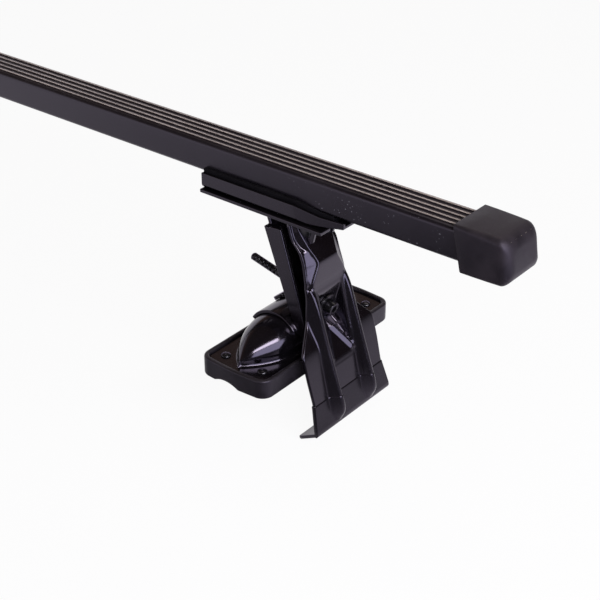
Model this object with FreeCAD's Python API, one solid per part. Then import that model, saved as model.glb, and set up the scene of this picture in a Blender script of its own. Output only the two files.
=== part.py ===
"""Roof rack load bar: a ribbed steel crossbar on two clamp feet with hooks and swivelling roof pads.

Millimetres, +Z up. The origin is under the middle of the bar, at the lowest edge of the hooks.
+X runs along the bar to its right end. A foot is modelled in its own frame, with x outward from the
axis its pad tilts on and z up from the bar's underside, and is then put in place on both sides.
"""
import FreeCAD
import Part
import math
import os

# Whole rack
overall_length = 1200.0
foot_inset = 176.5           # end of the rack to the axis of each roof pad
foot_offset = overall_length / 2 - foot_inset
seat_gap = 0.1               # between pieces that lie on each other
move_gap = 0.4               # between pieces that move past each other

# Crossbar
bar_width = 32.0
bar_height = 23.0
bar_wall = 2.0
bar_corner = 3.0
bar_slot = 11.0              # opening along the underside
rib_count = 5
rib_pitch = 5.6
rib_base = 2.8
rib_crest = 1.6
rib_height = 0.9

# End cap
cap_length = 38.0            # along its top
cap_wall = 3.0
cap_bottom = 5.0
cap_end = 5.0
cap_mouth_rake = 7.0         # the mouth's lower edge stands this much further out
cap_end_rake = 3.5           # the end face leans in this much at the top
cap_edge = 4.0
cap_nose = 9.0
cap_heel = 9.0               # round under the end
cap_fit = 0.15

# Saddle
saddle_width = 43.0
saddle_sheet = 2.5
saddle_inner = -68.5         # end towards the middle of the bar
saddle_nose = 52.0           # tapered end
saddle_rise = 2.0            # wall above the bar's underside
liner_show = 2.6             # liner above the wall
saddle_drop = 9.5            # floor's lower face under the bar's underside
nose_start = 13.0            # where the wall's top edge starts to fall
nose_low = 34.0              # where it runs under the bar
nose_under = 1.2             # nose top under the bar's underside
nose_depth = 4.2
nose_width = 35.0
saddle_bend = 3.5

# Hinge of the clamp plate: lugs under the saddle and a riveted pin
pivot_x = 16.0               # axis of the pin
pivot_drop = 20.0            # axis under the bar's underside
lug_inner = 9.6              # half the space between the lugs
lug_sheet = 2.5
lug_tip = 28.5               # lug's tip under the bar's underside
lug_tip_x = 19.0
lug_root_inner = 3.0
lug_root_outer = 27.0
pin_radius = 3.0
pin_play = 0.05
pin_head_radius = 5.0
pin_head = 2.0

# Slot plate and saddle screws
slot_plate_length = 46.0
slot_plate_width = 20.0
slot_plate_thick = 5.0
screw_radius = 3.0
screw_hole = 3.4
screw_x = (-60.0, -32.0)
screw_head_flats = 10.0
screw_head = 6.0
screw_flange_radius = 7.0
screw_flange = 1.5

# Upright
upright_width = 47.0
upright_sheet = 2.5
web_lean = 20.3              # degrees from upright
web_ref_x = -9.0             # a point of the web's rear face
web_ref_z = -23.7
flange_front = 38.0
web_top_half = 18.5          # web is narrower between the ears and the flange
ear_gap = 1.0                # ear's front edge behind the clamp plate
ear_rise = 5.0               # ear's ends over and under the hinge, along the clamp plate
ear_fall = 78.5
ear_rear_top_z = -19.5
ear_corner = 5.0
ear_foot_z = -93.5

# Tilting pad: ridge and collar
ridge_axis_z = -104.0
ridge_radius = 19.6
collar_half = 27.0
collar_start = 35.0          # degrees from +X, seen along the axis
collar_end = 150.0
pad_tilt = 8.0               # degrees, outer edge down
carrier_sheet = 2.0
carrier_top_z = -108.0
swivel_angle = 128.0
swivel_radius = 3.0
swivel_head_radius = 6.0
swivel_head = 2.2

# Rubber pad
pad_width = 59.0
pad_length = 147.0
pad_top_z = -106.0
pad_bottom_z = -120.5
pad_rim = 3.6
pad_corner = 9.0
pad_bow = 2.0                # ends stand out this much in the middle
groove_x = -4.5              # groove along the underside, towards the middle of the bar
groove_width = 21.0
groove_depth = 3.0
rivet_x = 16.5
rivet_end = 15.0             # rivets to the pad's ends
rivet_y = pad_length / 2 - rivet_end
ridge_end = 10.5             # ridge's points to the pad's ends
ridge_tip = pad_length / 2 - ridge_end
ridge_half = ridge_tip * 0.36   # straight part of the ridge, from its middle
rivet_radius = 2.0
rivet_head_radius = 3.6
rivet_head = 1.8
rivet_depth = 5.0

# Clamp plate, in its own frame: n outward from its front face, v up along it from its lower corner
clamp_lean = 14.3            # degrees from upright
eye_v = 141.0                # hinge axis, up from the plate's lower corner
clamp_sheet = 2.5
clamp_wall = 1.5             # drawn side walls are thinner than the sheet
hook_half = 41.5
waist_half = 38.4            # at the hook sleeve's upper edge
shoulder_half = 39.3
shoulder_fall = 81.5         # places on the plate, under the eye
shoulder_v = eye_v - shoulder_fall
neck_half = 23.5
neck_fall = 63.0
neck_v = eye_v - neck_fall
horn_rise = 9.0              # horns beside the eye, over its axis
neck_top_v = eye_v + horn_rise
neck_low_n = -5.4            # side strips lie behind the front face
neck_top_n = -9.0
boss_slope = 0.4
boss_lean = 0.1              # boss falls back towards the eye, for each mm up
boss_rows = ((6.0, 0.0), (5.4, 10.0), (4.6, 17.5), (3.2, 26.0),
             (6.5, 32.0), (13.0, 37.0), (18.8, 42.0))   # half width, distance under the eye
rib_centre = 18.0
rib_top_half = 1.8
rib_slope = 0.43
rib_rows = ((8.8, eye_v), (3.0, 46.5), (0.3, 40.2))   # height, distance under the eye
rib_nose_v = 1.5             # ribs run out into the plate here
rib_nose_slope = 1.3
rib_deep = 8.0               # root behind the front face
pocket_half = 12.5
seat_fall = 58.6             # bolt axis on the bolt's seat, under the eye
seat_v = eye_v - seat_fall
seat_n = -6.65
seat_low_fall = 67.5
seat_low_v = eye_v - seat_low_fall
ramp_fall = 93.0             # foot of the pocket's ramp
ramp_v = eye_v - ramp_fall
prow_drop = 2.0
eye_radius = 5.5
eye_n = -0.9
eye_half = 9.1
lip_length = 19.0
lip_turn = 76.3              # degrees from the plate
lip_round = 3.0
clamp_swing = 10.0           # degrees open

# Hook sleeve
sleeve_wall = 0.6
sleeve_top_v = 22.5
sleeve_low_v = 3.4

# Clamp bolt, washer and barrel nut
bolt_lean = 13.4             # degrees below level, outward
bolt_radius = 3.0
bolt_thread_radius = 2.67    # pitch radius stands for the thread
bolt_plain = 12.0
bolt_length = 70.0
bolt_head_radius = 5.0
bolt_head = 6.0
bolt_socket_flats = 5.0
bolt_socket = 3.2
bolt_hole = 3.4
washer_radius = 8.5
washer_thick = 1.6
nut_radius = 5.0
nut_half = 12.0
nut_bore = 3.2
cradle_half = 13.0
cradle_height = 18.0
cradle_wrap = 2.6            # past the nut's axis
bolt_slot_half = 3.9
bolt_slot_height = 11.0

V = FreeCAD.Vector
X_AXIS = V(1, 0, 0)
Y_AXIS = V(0, 1, 0)
Z_AXIS = V(0, 0, 1)
LIFT = {
    "xy": lambda a, b, c: V(a, b, c),
    "xz": lambda a, b, c: V(a, c, b),
    "yz": lambda a, b, c: V(c, a, b),
}
NORMAL = {"xy": Z_AXIS, "xz": Y_AXIS, "yz": X_AXIS}
FAR = 200.0                  # reach of cutting blocks past the part


def rounded_edges(plane, points, radii, level):
    """Edges of a closed outline through 2-D corners, each rounded by its own tangent arc (0 is sharp)."""
    lift = LIFT[plane]
    corners = [V(a, b, 0) for a, b in points]
    runs = []
    for index, corner in enumerate(corners):
        radius = radii[index]
        back = (corners[index - 1] - corner).normalize()
        ahead = (corners[(index + 1) % len(corners)] - corner).normalize()
        if radius == 0:
            runs.append((corner, None, corner))
            continue
        half = back.getAngle(ahead) / 2
        middle = (back + ahead).normalize()
        cut = radius / math.tan(half)
        crown = corner + middle * (radius / math.sin(half) - radius)
        runs.append((corner + back * cut, crown, corner + ahead * cut))
    edges = []
    for index, (start, crown, end) in enumerate(runs):
        leave = runs[index - 1][2]
        if leave.distanceToPoint(start) > 1e-6:
            run = Part.LineSegment(lift(leave.x, leave.y, level), lift(start.x, start.y, level))
            edges.append(run.toShape())
        if crown is not None:
            spots = [lift(spot.x, spot.y, level) for spot in (start, crown, end)]
            edges.append(Part.Arc(*spots).toShape())
    return edges


def slab(plane, points, low, high, radii=0):
    """Outline in a plane, drawn out from low to high along the plane's normal."""
    if isinstance(radii, (int, float)):
        radii = [radii] * len(points)
    face = Part.Face(Part.Wire(rounded_edges(plane, points, radii, low)))
    return face.extrude(NORMAL[plane] * (high - low))


def box(low, high):
    return Part.makeBox(high[0] - low[0], high[1] - low[1], high[2] - low[2], V(*low))


def rod(radius, start, end):
    """Round rod between two points."""
    along = end - start
    return Part.makeCylinder(radius, along.Length, start, along)


def cross_rod(radius, x, z, half):
    """Round rod along Y, centred on the middle plane."""
    return rod(radius, V(x, -half, z), V(x, half, z))


def hex_rod(flats, start, end):
    """Six-sided rod between two points."""
    along = end - start
    reach = flats / math.sqrt(3)
    angles = [k * math.pi / 3 for k in range(7)]
    ring = [V(reach * math.cos(angle), reach * math.sin(angle), 0) for angle in angles]
    prism = Part.Face(Part.makePolygon(ring)).extrude(Z_AXIS * along.Length)
    prism.Placement = FreeCAD.Placement(start, FreeCAD.Rotation(Z_AXIS, along))
    return prism


def joined(first, *others):
    return first.fuse(list(others)).removeSplitter()


def mirrored(points):
    """Closed outline from its right half, given from bottom to top."""
    return points + [(-a, b) for a, b in reversed(points)]


# Frames shared by the pieces of a foot
lean = math.radians(clamp_lean)
bolt_tilt = math.radians(bolt_lean)
pivot = V(pivot_x, 0, -pivot_drop)
clamp_turn = FreeCAD.Rotation(Y_AXIS, -clamp_lean)
clamp_placement = FreeCAD.Placement(pivot - clamp_turn.multVec(V(eye_n, 0, eye_v)), clamp_turn)


def clamp_point(n, v):
    """Point of the clamp plate's middle plane, in the foot's frame."""
    return clamp_placement.multVec(V(n, 0, v))


bolt_out = V(math.cos(bolt_tilt), 0, -math.sin(bolt_tilt))
seat_point = clamp_point(seat_n, seat_v)
seat_turn = math.tan(lean + bolt_tilt)       # seat's slope in the plate's frame
nut_reach = (seat_point - pivot).dot(bolt_out)
nut_foot = seat_point - bolt_out * nut_reach
nut_arm = (nut_foot - pivot).Length
nut_drift = nut_arm * (1 - math.cos(math.radians(clamp_swing))) / 2
nut_centre = nut_foot + (nut_foot - pivot).normalize() * nut_drift
web_slope = math.tan(math.radians(web_lean))
lip_angle = math.radians(lip_turn)
lip_run = V(-math.sin(lip_angle), 0, -math.cos(lip_angle))
lip_tip = clamp_placement.multVec(lip_run * lip_length)
bar_underside = -lip_tip.z                   # height over the hooks' lowest edge


def web_x(z, behind=0.0):
    """Rear face of the upright's web at a height, or a line that far in front of it."""
    return web_ref_x + (web_ref_z - z) * web_slope + behind / math.cos(math.radians(web_lean))


def strip_n(v):
    """Front of the clamp plate's side strips, behind its front face."""
    share = (v - neck_v) / (neck_top_v - neck_v)
    return neck_low_n + (neck_top_n - neck_low_n) * share


# Crossbar and end caps
def bar_outline(grow):
    half = bar_width / 2 + grow
    return [(-half, -grow), (half, -grow), (half, bar_height + grow), (-half, bar_height + grow)]


def crossbar():
    half_length = overall_length / 2 - cap_end
    crown = bar_height - rib_height
    half = bar_width / 2
    outer = [(-half, 0), (half, 0), (half, crown), (-half, crown)]
    inner = [(-half + bar_wall, bar_wall), (half - bar_wall, bar_wall),
             (half - bar_wall, crown - bar_wall), (-half + bar_wall, crown - bar_wall)]
    bar = slab("yz", outer, -half_length, half_length, bar_corner)
    ribs = []
    for index in range(rib_count):
        y = (index - (rib_count - 1) / 2) * rib_pitch
        profile = [(y - rib_base / 2, crown - seat_gap), (y + rib_base / 2, crown - seat_gap),
                   (y + rib_crest / 2, bar_height), (y - rib_crest / 2, bar_height)]
        ribs.append(slab("yz", profile, -half_length, half_length))
    bar = joined(bar, *ribs)
    bar = bar.cut(slab("yz", inner, -half_length, half_length, bar_corner - bar_wall))
    slot = box((-half_length, -bar_slot / 2, -seat_gap), (half_length, bar_slot / 2, bar_wall * 2))
    bar = bar.cut(slot)
    bar.translate(V(0, 0, bar_underside))
    return bar


def end_cap():
    end = overall_length / 2
    mouth = end - cap_end_rake - cap_length
    half = bar_width / 2 + cap_wall
    top = bar_height + cap_wall
    side = [(mouth + cap_mouth_rake, -cap_bottom), (end, -cap_bottom), (end, cap_heel - cap_bottom),
            (end - cap_end_rake, top), (mouth, top)]
    cap = slab("xz", side, -half, half, [1.0, cap_heel, 0, cap_nose, 1.0])
    plan = [(mouth - cap_wall, -half), (end, -half), (end, half), (mouth - cap_wall, half)]
    cap = cap.common(slab("xy", plan, -cap_bottom, top, [0, cap_edge, cap_edge, 0]))
    section = [(-half, -cap_bottom), (half, -cap_bottom), (half, top), (-half, top)]
    cap = cap.common(slab("yz", section, mouth, end, [cap_edge / 2, cap_edge / 2, cap_edge, cap_edge]))
    cap = cap.cut(slab("yz", bar_outline(cap_fit), mouth - cap_wall, end - cap_end + cap_fit, bar_corner))
    cap.translate(V(0, 0, bar_underside))
    return cap


# Saddle and what holds it to the bar
def saddle_side(inset):
    """Side view of the saddle's walls, or of the hollow that lies one sheet inside it."""
    top = saddle_rise + 2 * inset
    low = -saddle_drop + inset
    fall = -nose_under + 2 * inset
    under = -nose_under - nose_depth + inset
    points = [(saddle_inner - inset, low), (nose_start + saddle_drop, low), (saddle_nose + inset, under),
              (saddle_nose + inset, fall), (nose_low, fall), (nose_start, top), (saddle_inner - inset, top)]
    return points, [0, saddle_drop * 2, 0, 0, saddle_drop, saddle_drop, 0]


def saddle_plan(inset):
    half = saddle_width / 2 - inset
    tip = nose_width / 2 - inset
    points = [(saddle_inner - inset, -half), (nose_start, -half), (saddle_nose + inset, -tip),
              (saddle_nose + inset, tip), (nose_start, half), (saddle_inner - inset, half)]
    return points


def saddle_block(inset):
    points, radii = saddle_side(inset)
    block = slab("xz", points, -saddle_width, saddle_width, radii)
    block = block.common(slab("xy", saddle_plan(inset), -FAR, FAR, [0, FAR / 4, 0, 0, FAR / 4, 0]))
    half = saddle_width / 2 - inset
    bend = saddle_bend - inset
    section = [(-half, -saddle_drop + inset), (half, -saddle_drop + inset), (half, FAR), (-half, FAR)]
    return block.common(slab("yz", section, saddle_inner * 2, saddle_nose * 2, [bend, bend, 0, 0]))


def hinge_lug(inner, outer):
    root_z = -saddle_drop + saddle_sheet / 2
    points = [(lug_root_inner, root_z), (lug_root_outer, root_z),
              (lug_tip_x + pin_radius, -lug_tip), (lug_tip_x - pin_radius, -lug_tip)]
    return slab("xz", points, inner, outer, [0, 0, pin_radius, pin_radius])


def screw_spots():
    return [V(x, 0, 0) for x in screw_x]


def saddle():
    body = saddle_block(0).cut(saddle_block(saddle_sheet))
    lug_outer = lug_inner + lug_sheet
    body = joined(body, hinge_lug(lug_inner, lug_outer), hinge_lug(-lug_outer, -lug_inner))
    body = body.cut(cross_rod(pin_radius + pin_play, pivot.x, pivot.z, lug_outer + lug_sheet))
    for spot in screw_spots():
        body = body.cut(rod(screw_hole, spot - Z_AXIS * FAR, spot + Z_AXIS * FAR))
    return body


def bar_seat():
    """Moulded liner: fills the saddle round the lower edge of the bar and stands a little over its walls."""
    inset = saddle_sheet + seat_gap
    top = saddle_rise + liner_show
    fall = -nose_under + liner_show
    end = (nose_low + saddle_nose) / 2
    low = -saddle_drop
    side = [(saddle_inner, low), (end, low), (end, fall), (nose_low, fall), (nose_start, top),
            (saddle_inner, top)]
    liner = slab("xz", side, -saddle_width, saddle_width, [0, 0, 0, saddle_drop, saddle_drop, 0])
    liner = liner.common(saddle_block(inset))
    liner = liner.cut(slab("yz", bar_outline(seat_gap), -FAR, FAR, bar_corner))
    for spot in screw_spots():
        liner = liner.cut(rod(screw_hole, spot - Z_AXIS * FAR, spot + Z_AXIS * FAR))
    return liner


def slot_plate():
    low = bar_wall + seat_gap
    middle = sum(screw_x) / len(screw_x)
    reach = slot_plate_length / 2
    half = slot_plate_width / 2
    start = middle - reach
    end = middle + reach
    outline = [(start, -half), (end, -half), (end, half), (start, half)]
    plate = slab("xy", outline, low, low + slot_plate_thick, half / 4)
    for spot in screw_spots():
        plate = plate.cut(rod(screw_radius + pin_play, spot, spot + Z_AXIS * FAR))
    return plate


def saddle_screws():
    screws = []
    floor = -saddle_drop - upright_sheet - seat_gap * 2
    for spot in screw_spots():
        under = spot + Z_AXIS * floor
        shank = rod(screw_radius, under, spot + Z_AXIS * (bar_wall + slot_plate_thick))
        flange = rod(screw_flange_radius, under - Z_AXIS * screw_flange, under)
        head = hex_rod(screw_head_flats, under - Z_AXIS * screw_head, under)
        screws.append(joined(shank, flange, head))
    return Part.makeCompound(screws)


# Upright: web, top flange, ears and collar
def top_flange():
    """Flat plate under the saddle, notched for the hinge."""
    half = upright_width / 2
    high = -saddle_drop - seat_gap
    flange = box((saddle_inner, -half, high - upright_sheet), (flange_front, half, high))
    notch_half = lug_inner + lug_sheet + move_gap * 2
    notch_back = lug_root_inner - move_gap * 2
    notch = box((notch_back, -notch_half, high - upright_sheet), (flange_front, notch_half, high))
    flange = flange.cut(notch)
    for spot in screw_spots():
        flange = flange.cut(rod(screw_hole, spot - Z_AXIS * FAR, spot + Z_AXIS * FAR))
    return flange


def web():
    """Sloping sheet from the flange down to the collar, narrower above the ears."""
    half = upright_width / 2
    high = -saddle_drop - seat_gap - upright_sheet
    low = ridge_axis_z + ridge_radius * 0.65
    points = [(web_x(high), high), (web_x(high, upright_sheet), high), (web_x(low, upright_sheet), low),
              (web_x(low), low)]
    sheet = slab("xz", points, -half, half)
    for side in (-1, 1):
        ends = sorted((side * web_top_half, side * upright_width))
        sheet = sheet.cut(box((-FAR, ends[0], ear_rear_top_z), (FAR, ends[1], 0)))
    return sheet


def ear_outline():
    behind = clamp_sheet + ear_gap
    top_v = eye_v + ear_rise
    tip_v = eye_v - ear_fall
    top = clamp_point(strip_n(top_v) - behind, top_v)
    tip = clamp_point(strip_n(tip_v) - behind, tip_v)
    rear = [(web_x(z), z) for z in (ear_foot_z, ear_rear_top_z)]
    points = [(top.x, top.z), (tip.x, tip.z)] + rear
    return points, [ear_corner / 2, ear_corner / 2, ear_corner, ear_corner]


def collar():
    start = math.radians(collar_start)
    middle = math.radians((collar_start + collar_end) / 2)
    end = math.radians(collar_end)
    inner = ridge_radius + move_gap
    outer = inner + upright_sheet

    def spot(radius, angle):
        return V(radius * math.cos(angle), -collar_half, ridge_axis_z + radius * math.sin(angle))

    edges = [Part.Arc(spot(outer, start), spot(outer, middle), spot(outer, end)).toShape(),
             Part.LineSegment(spot(outer, end), spot(inner, end)).toShape(),
             Part.Arc(spot(inner, end), spot(inner, middle), spot(inner, start)).toShape(),
             Part.LineSegment(spot(inner, start), spot(outer, start)).toShape()]
    return Part.Face(Part.Wire(edges)).extrude(Y_AXIS * (2 * collar_half))


def swivel_slot():
    """Slot round the collar for the swivel rivet, as long as the pad's tilt needs."""
    outer = ridge_radius + move_gap + upright_sheet * 2
    play = swivel_radius + move_gap
    spread = pad_tilt + math.degrees(math.asin(play / ridge_radius))
    wedge = Part.makeCylinder(outer, 2 * play, V(0, -play, ridge_axis_z), Y_AXIS, 2 * spread)
    start = wedge.CenterOfMass - V(0, 0, ridge_axis_z)
    now = math.degrees(math.atan2(start.z, start.x))
    wedge.rotate(V(0, 0, ridge_axis_z), Y_AXIS, now - swivel_angle)
    return wedge


def bolt_slot(half, height, start, end):
    """Upright slot round the bolt's axis, between two distances behind its seat."""
    slot = Part.makeBox(end - start, 2 * half, height, V(-end, -half, -height / 2))
    turn = FreeCAD.Placement(seat_point, FreeCAD.Rotation(Y_AXIS, bolt_lean))
    slot.Placement = turn.multiply(slot.Placement)
    return slot


def upright():
    half = upright_width / 2
    points, radii = ear_outline()
    inner = half - upright_sheet
    ears = [slab("xz", points, low, high, radii) for low, high in ((inner, half), (-half, -inner))]
    body = joined(web(), top_flange(), collar(), *ears)
    body = body.cut(cross_rod(ridge_radius + move_gap, 0, ridge_axis_z, FAR))
    body = body.cut(bolt_slot(bolt_slot_half, bolt_slot_height, clamp_sheet, nut_reach_back()))
    return body.cut(swivel_slot()).removeSplitter()


def nut_reach_back():
    """Distance behind the bolt's seat to just past the barrel nut."""
    return (seat_point - nut_centre).Length + nut_radius * 2


def pivot_pin():
    reach = lug_inner + lug_sheet + seat_gap
    shank = cross_rod(pin_radius, pivot.x, pivot.z, reach + pin_head)
    ends = []
    for side in (-1, 1):
        start = V(pivot.x, side * reach, pivot.z)
        ends.append(Part.makeCone(pin_head_radius, pin_radius, pin_head, start, Y_AXIS * side))
    return joined(shank, *ends)


# Clamp plate: a drawn sheet between its front form and the same form set back by the sheet
def boss(rise, grow):
    """Raised boss of the neck: a waisted plateau leaning back to the eye, on the pocket's panel."""
    deep = -neck_top_n + clamp_sheet * 2
    panel_half, panel_under = boss_rows[-1]
    panel_half += grow

    def ring(level, widen):
        right = []
        for half, under in boss_rows:
            n = level + (under - panel_under) * boss_lean
            right.append(V(n, half + grow + widen, eye_v - under))
        left = [V(spot.x, -spot.y, spot.z) for spot in reversed(right)]
        edges = []
        for spots in (right, left):
            curve = Part.BSplineCurve()
            curve.interpolate(spots)
            edges.append(curve.toShape())
        edges.insert(1, Part.LineSegment(right[-1], left[0]).toShape())
        edges.append(Part.LineSegment(left[-1], right[0]).toShape())
        return Part.Wire(edges)

    neck = Part.makeLoft([ring(-deep, deep * boss_slope), ring(rise, 0)], True, True)
    panel_foot = panel_half + (deep + rise) * boss_slope
    panel = [(-deep, -panel_foot), (rise, -panel_half), (rise, panel_half), (-deep, panel_foot)]
    return neck.fuse(slab("xy", panel, shoulder_v - neck_half, eye_v - panel_under))


def long_rib(side, rise, grow):
    """Stiffening rib, highest at the hook and running out into the boss."""
    half = rib_top_half + grow
    rings = []
    for height, under in rib_rows:
        foot = half + (height + rib_deep) * rib_slope
        profile = [(-rib_deep, -foot), (height + rise, -half), (height + rise, half), (-rib_deep, foot)]
        spots = [V(n, side * rib_centre + y, eye_v - under) for n, y in profile]
        rings.append(Part.makePolygon(spots + spots[:1]))
    rib = Part.makeLoft(rings, True, True)
    high = rib_rows[0][0] * 2
    crest_v = rib_nose_v + high * rib_nose_slope
    nose = [(-rib_deep, 0), (rise, rib_nose_v), (high + rise, crest_v), (high + rise, FAR), (-rib_deep, FAR)]
    return rib.common(slab("xz", nose, -FAR, FAR))


def pocket(rise, grow):
    """Bolt pocket: the bolt's seat above, a ramp below and upright side walls."""
    top_v = seat_v - seat_n / seat_turn
    low_n = seat_n + (seat_low_v - seat_v) * seat_turn
    front = rib_rows[0][0] * 2
    floor = [(front + rise, ramp_v), (rise - prow_drop, ramp_v), (low_n + rise, seat_low_v), (rise, top_v),
             (front + rise, top_v + front / seat_turn)]
    half = pocket_half + grow
    return slab("xz", floor, -half, half)


def prow(rise, grow):
    """Three-cornered wedge that stands on the ramp, pointing up at the bolt."""
    half = pocket_half + grow
    low_n = seat_n + (seat_low_v - seat_v) * seat_turn
    upper = [V(low_n + rise, 0, seat_low_v), V(rise, half, ramp_v), V(rise, -half, ramp_v)]
    lower = [spot - X_AXIS * (prow_drop * 2) for spot in upper]
    rings = [Part.makePolygon(ring + ring[:1]) for ring in (lower, upper)]
    return Part.makeLoft(rings, True, True)


def clamp_ground(rise):
    """Everything behind the plate's plain front: wings, shoulder and side strips."""
    low = -FAR / 4
    high = neck_top_v + FAR / 4
    side = [(rise, low), (rise, shoulder_v), (neck_low_n + rise, neck_v), (neck_top_n + rise, neck_top_v),
            (neck_top_n + rise, high), (-FAR, high), (-FAR, low)]
    return slab("xz", side, -FAR, FAR)


def clamp_form(rise, grow):
    ribs = [long_rib(side, rise, grow) for side in (-1, 1)]
    form = clamp_ground(rise).fuse([boss(rise, grow)] + ribs)
    form = form.cut(pocket(rise, -grow))
    return form.fuse(prow(rise, grow))


def clamp_outline(grow):
    right = [(hook_half + grow, 0), (hook_half + grow, sleeve_low_v), (waist_half + grow, sleeve_top_v),
             (shoulder_half + grow, (sleeve_top_v + shoulder_v) / 2),
             (shoulder_half + grow, shoulder_v + grow),
             (neck_half + grow, neck_v + grow), (neck_half + grow, neck_top_v + grow),
             (lug_inner + lug_sheet + grow, neck_top_v + grow), (eye_half - grow, eye_v + grow)]
    radii = [0, 0, 30.0, 30.0, 6.0, 12.0, 4.0, 3.0, 0]
    return mirrored(right), radii + radii[::-1]


def lip():
    """Hook lip: the sheet turned in under the roof's edge."""
    along = lip_run * lip_length
    up = V(lip_run.z, 0, -lip_run.x) * clamp_sheet
    inner = along + up
    rise = (-clamp_sheet - inner.x) / -lip_run.x
    corner = inner - lip_run * rise
    high = lip_round + seat_gap
    points = [(spot.x, spot.z) for spot in (V(0, 0, 0), along, inner, corner)]
    points += [(-clamp_sheet, high), (0, high)]
    return slab("xz", points, -hook_half, hook_half, [lip_round, 0, 0, lip_round / 4, 0, 0])


def clamp_plate():
    sheet = clamp_form(0, 0).cut(clamp_form(-clamp_sheet, -clamp_wall))
    points, radii = clamp_outline(0)
    sheet = sheet.common(slab("yz", points, -FAR, FAR, radii))
    above = box((-FAR, -FAR, lip_round), (FAR, FAR, FAR))
    eye = cross_rod(eye_radius, eye_n, eye_v, eye_half)
    plate = joined(sheet.common(above), lip(), eye)
    plate = plate.cut(cross_rod(pin_radius + pin_play, eye_n, eye_v, FAR))
    plate.Placement = clamp_placement
    return plate.cut(rod(bolt_hole, seat_point - bolt_out * FAR / 8, seat_point + bolt_out * FAR / 8))


def hook_sleeve():
    """Soft sleeve over the plate's lower end: it follows the ribs in front and is flat behind."""
    def layer(gap, hollow):
        ribs = [long_rib(side, gap, gap) for side in (-1, 1)]
        behind = clamp_ground(-clamp_sheet - gap)
        if hollow:
            behind = behind.fuse([long_rib(side, -clamp_sheet - gap, -clamp_wall - gap) for side in (-1, 1)])
        points, radii = clamp_outline(gap)
        return clamp_ground(gap).fuse(ribs).cut(behind).common(slab("yz", points, -FAR, FAR, radii))

    sleeve = layer(sleeve_wall + seat_gap, False).cut(layer(seat_gap, True))
    sleeve = sleeve.common(box((-FAR, -FAR, sleeve_low_v), (FAR, FAR, sleeve_top_v)))
    sleeve.Placement = clamp_placement
    return sleeve


# Clamp bolt and its nut
def clamp_bolt():
    under_head = seat_point + bolt_out * (washer_thick + seat_gap * 2)
    plain_end = under_head - bolt_out * bolt_plain
    head = rod(bolt_head_radius, under_head, under_head + bolt_out * bolt_head)
    face = under_head + bolt_out * bolt_head
    head = head.cut(hex_rod(bolt_socket_flats, face - bolt_out * bolt_socket, face + bolt_out))
    shank = rod(bolt_radius, plain_end, under_head)
    thread = rod(bolt_thread_radius, under_head - bolt_out * bolt_length, under_head)
    return joined(head, shank, thread)


def bolt_washer():
    start = seat_point + bolt_out * seat_gap
    end = start + bolt_out * washer_thick
    return rod(washer_radius, start, end).cut(rod(bolt_hole, start - bolt_out, end + bolt_out))


def barrel_nut():
    nut = cross_rod(nut_radius, nut_centre.x, nut_centre.z, nut_half)
    bore_start = nut_centre - bolt_out * nut_radius * 2
    return nut.cut(rod(nut_bore, bore_start, nut_centre + bolt_out * nut_radius * 2))


def nut_cradle():
    web_down = V(math.sin(math.radians(web_lean)), 0, -math.cos(math.radians(web_lean)))
    web_back = V(-web_down.z, 0, web_down.x) * -1
    at_web = V(web_x(nut_centre.z), 0, nut_centre.z)
    middle = at_web + web_down * (nut_centre - at_web).dot(web_down) + web_back * seat_gap
    cradle_depth = (nut_centre - middle).dot(web_back) + cradle_wrap
    upper = middle - web_down * cradle_height / 2
    lower = middle + web_down * cradle_height / 2
    corners = [upper, lower, lower + web_back * cradle_depth, upper + web_back * cradle_depth]
    points = [(corner.x, corner.z) for corner in corners]
    block = slab("xz", points, -cradle_half, cradle_half, [0, 0, cradle_depth / 3, cradle_depth / 3])
    block = block.cut(cross_rod(nut_radius + seat_gap, nut_centre.x, nut_centre.z, FAR))
    return block.cut(bolt_slot(bolt_slot_half, bolt_slot_height, 0, FAR / 2))


# Tilting roof pad
def ridge(radius, tip, drop):
    """Half-round ridge with pointed noses, on straight skirts that reach down by drop."""
    run = tip - ridge_half
    sweep = (run * run + radius * radius) / (2 * radius)
    bulge = math.asin(run / sweep) / 2
    mid_y = ridge_half + sweep * math.sin(bulge)
    mid_r = radius - sweep * (1 - math.cos(bulge))

    def half_outline(level):
        def spot(y, r):
            return V(r, y, level)
        return [Part.LineSegment(spot(-tip, 0), spot(tip, 0)).toShape(),
                Part.Arc(spot(tip, 0), spot(mid_y, mid_r), spot(ridge_half, radius)).toShape(),
                Part.LineSegment(spot(ridge_half, radius), spot(-ridge_half, radius)).toShape(),
                Part.Arc(spot(-ridge_half, radius), spot(-mid_y, mid_r), spot(-tip, 0)).toShape()]

    face = Part.Face(Part.Wire(half_outline(ridge_axis_z)))
    crown = face.revolve(V(0, 0, ridge_axis_z), Y_AXIS, -180)
    skirt = face.extrude(Z_AXIS * -drop)
    other = skirt.mirror(V(0, 0, 0), X_AXIS)
    return joined(crown, skirt, other)


def pad_outline(inset):
    """Pad seen from above, with bowed ends."""
    half = pad_width / 2 - inset
    reach = pad_length / 2 - inset
    side = reach - pad_bow
    right = [(half, -side), (half, side)]
    points = [(-half, -side), (0, -reach)] + right + [(0, reach), (-half, side)]
    corner = pad_corner - inset
    bowed = pad_length
    return points, [corner, bowed, corner, corner, bowed, corner]


def rivet_spots():
    return [V(sx * rivet_x, sy * rivet_y, carrier_top_z) for sx in (-1, 1) for sy in (-1, 1)]


def swivel_line(radius):
    angle = math.radians(swivel_angle)
    return V(radius * math.cos(angle), 0, ridge_axis_z + radius * math.sin(angle))


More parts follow.
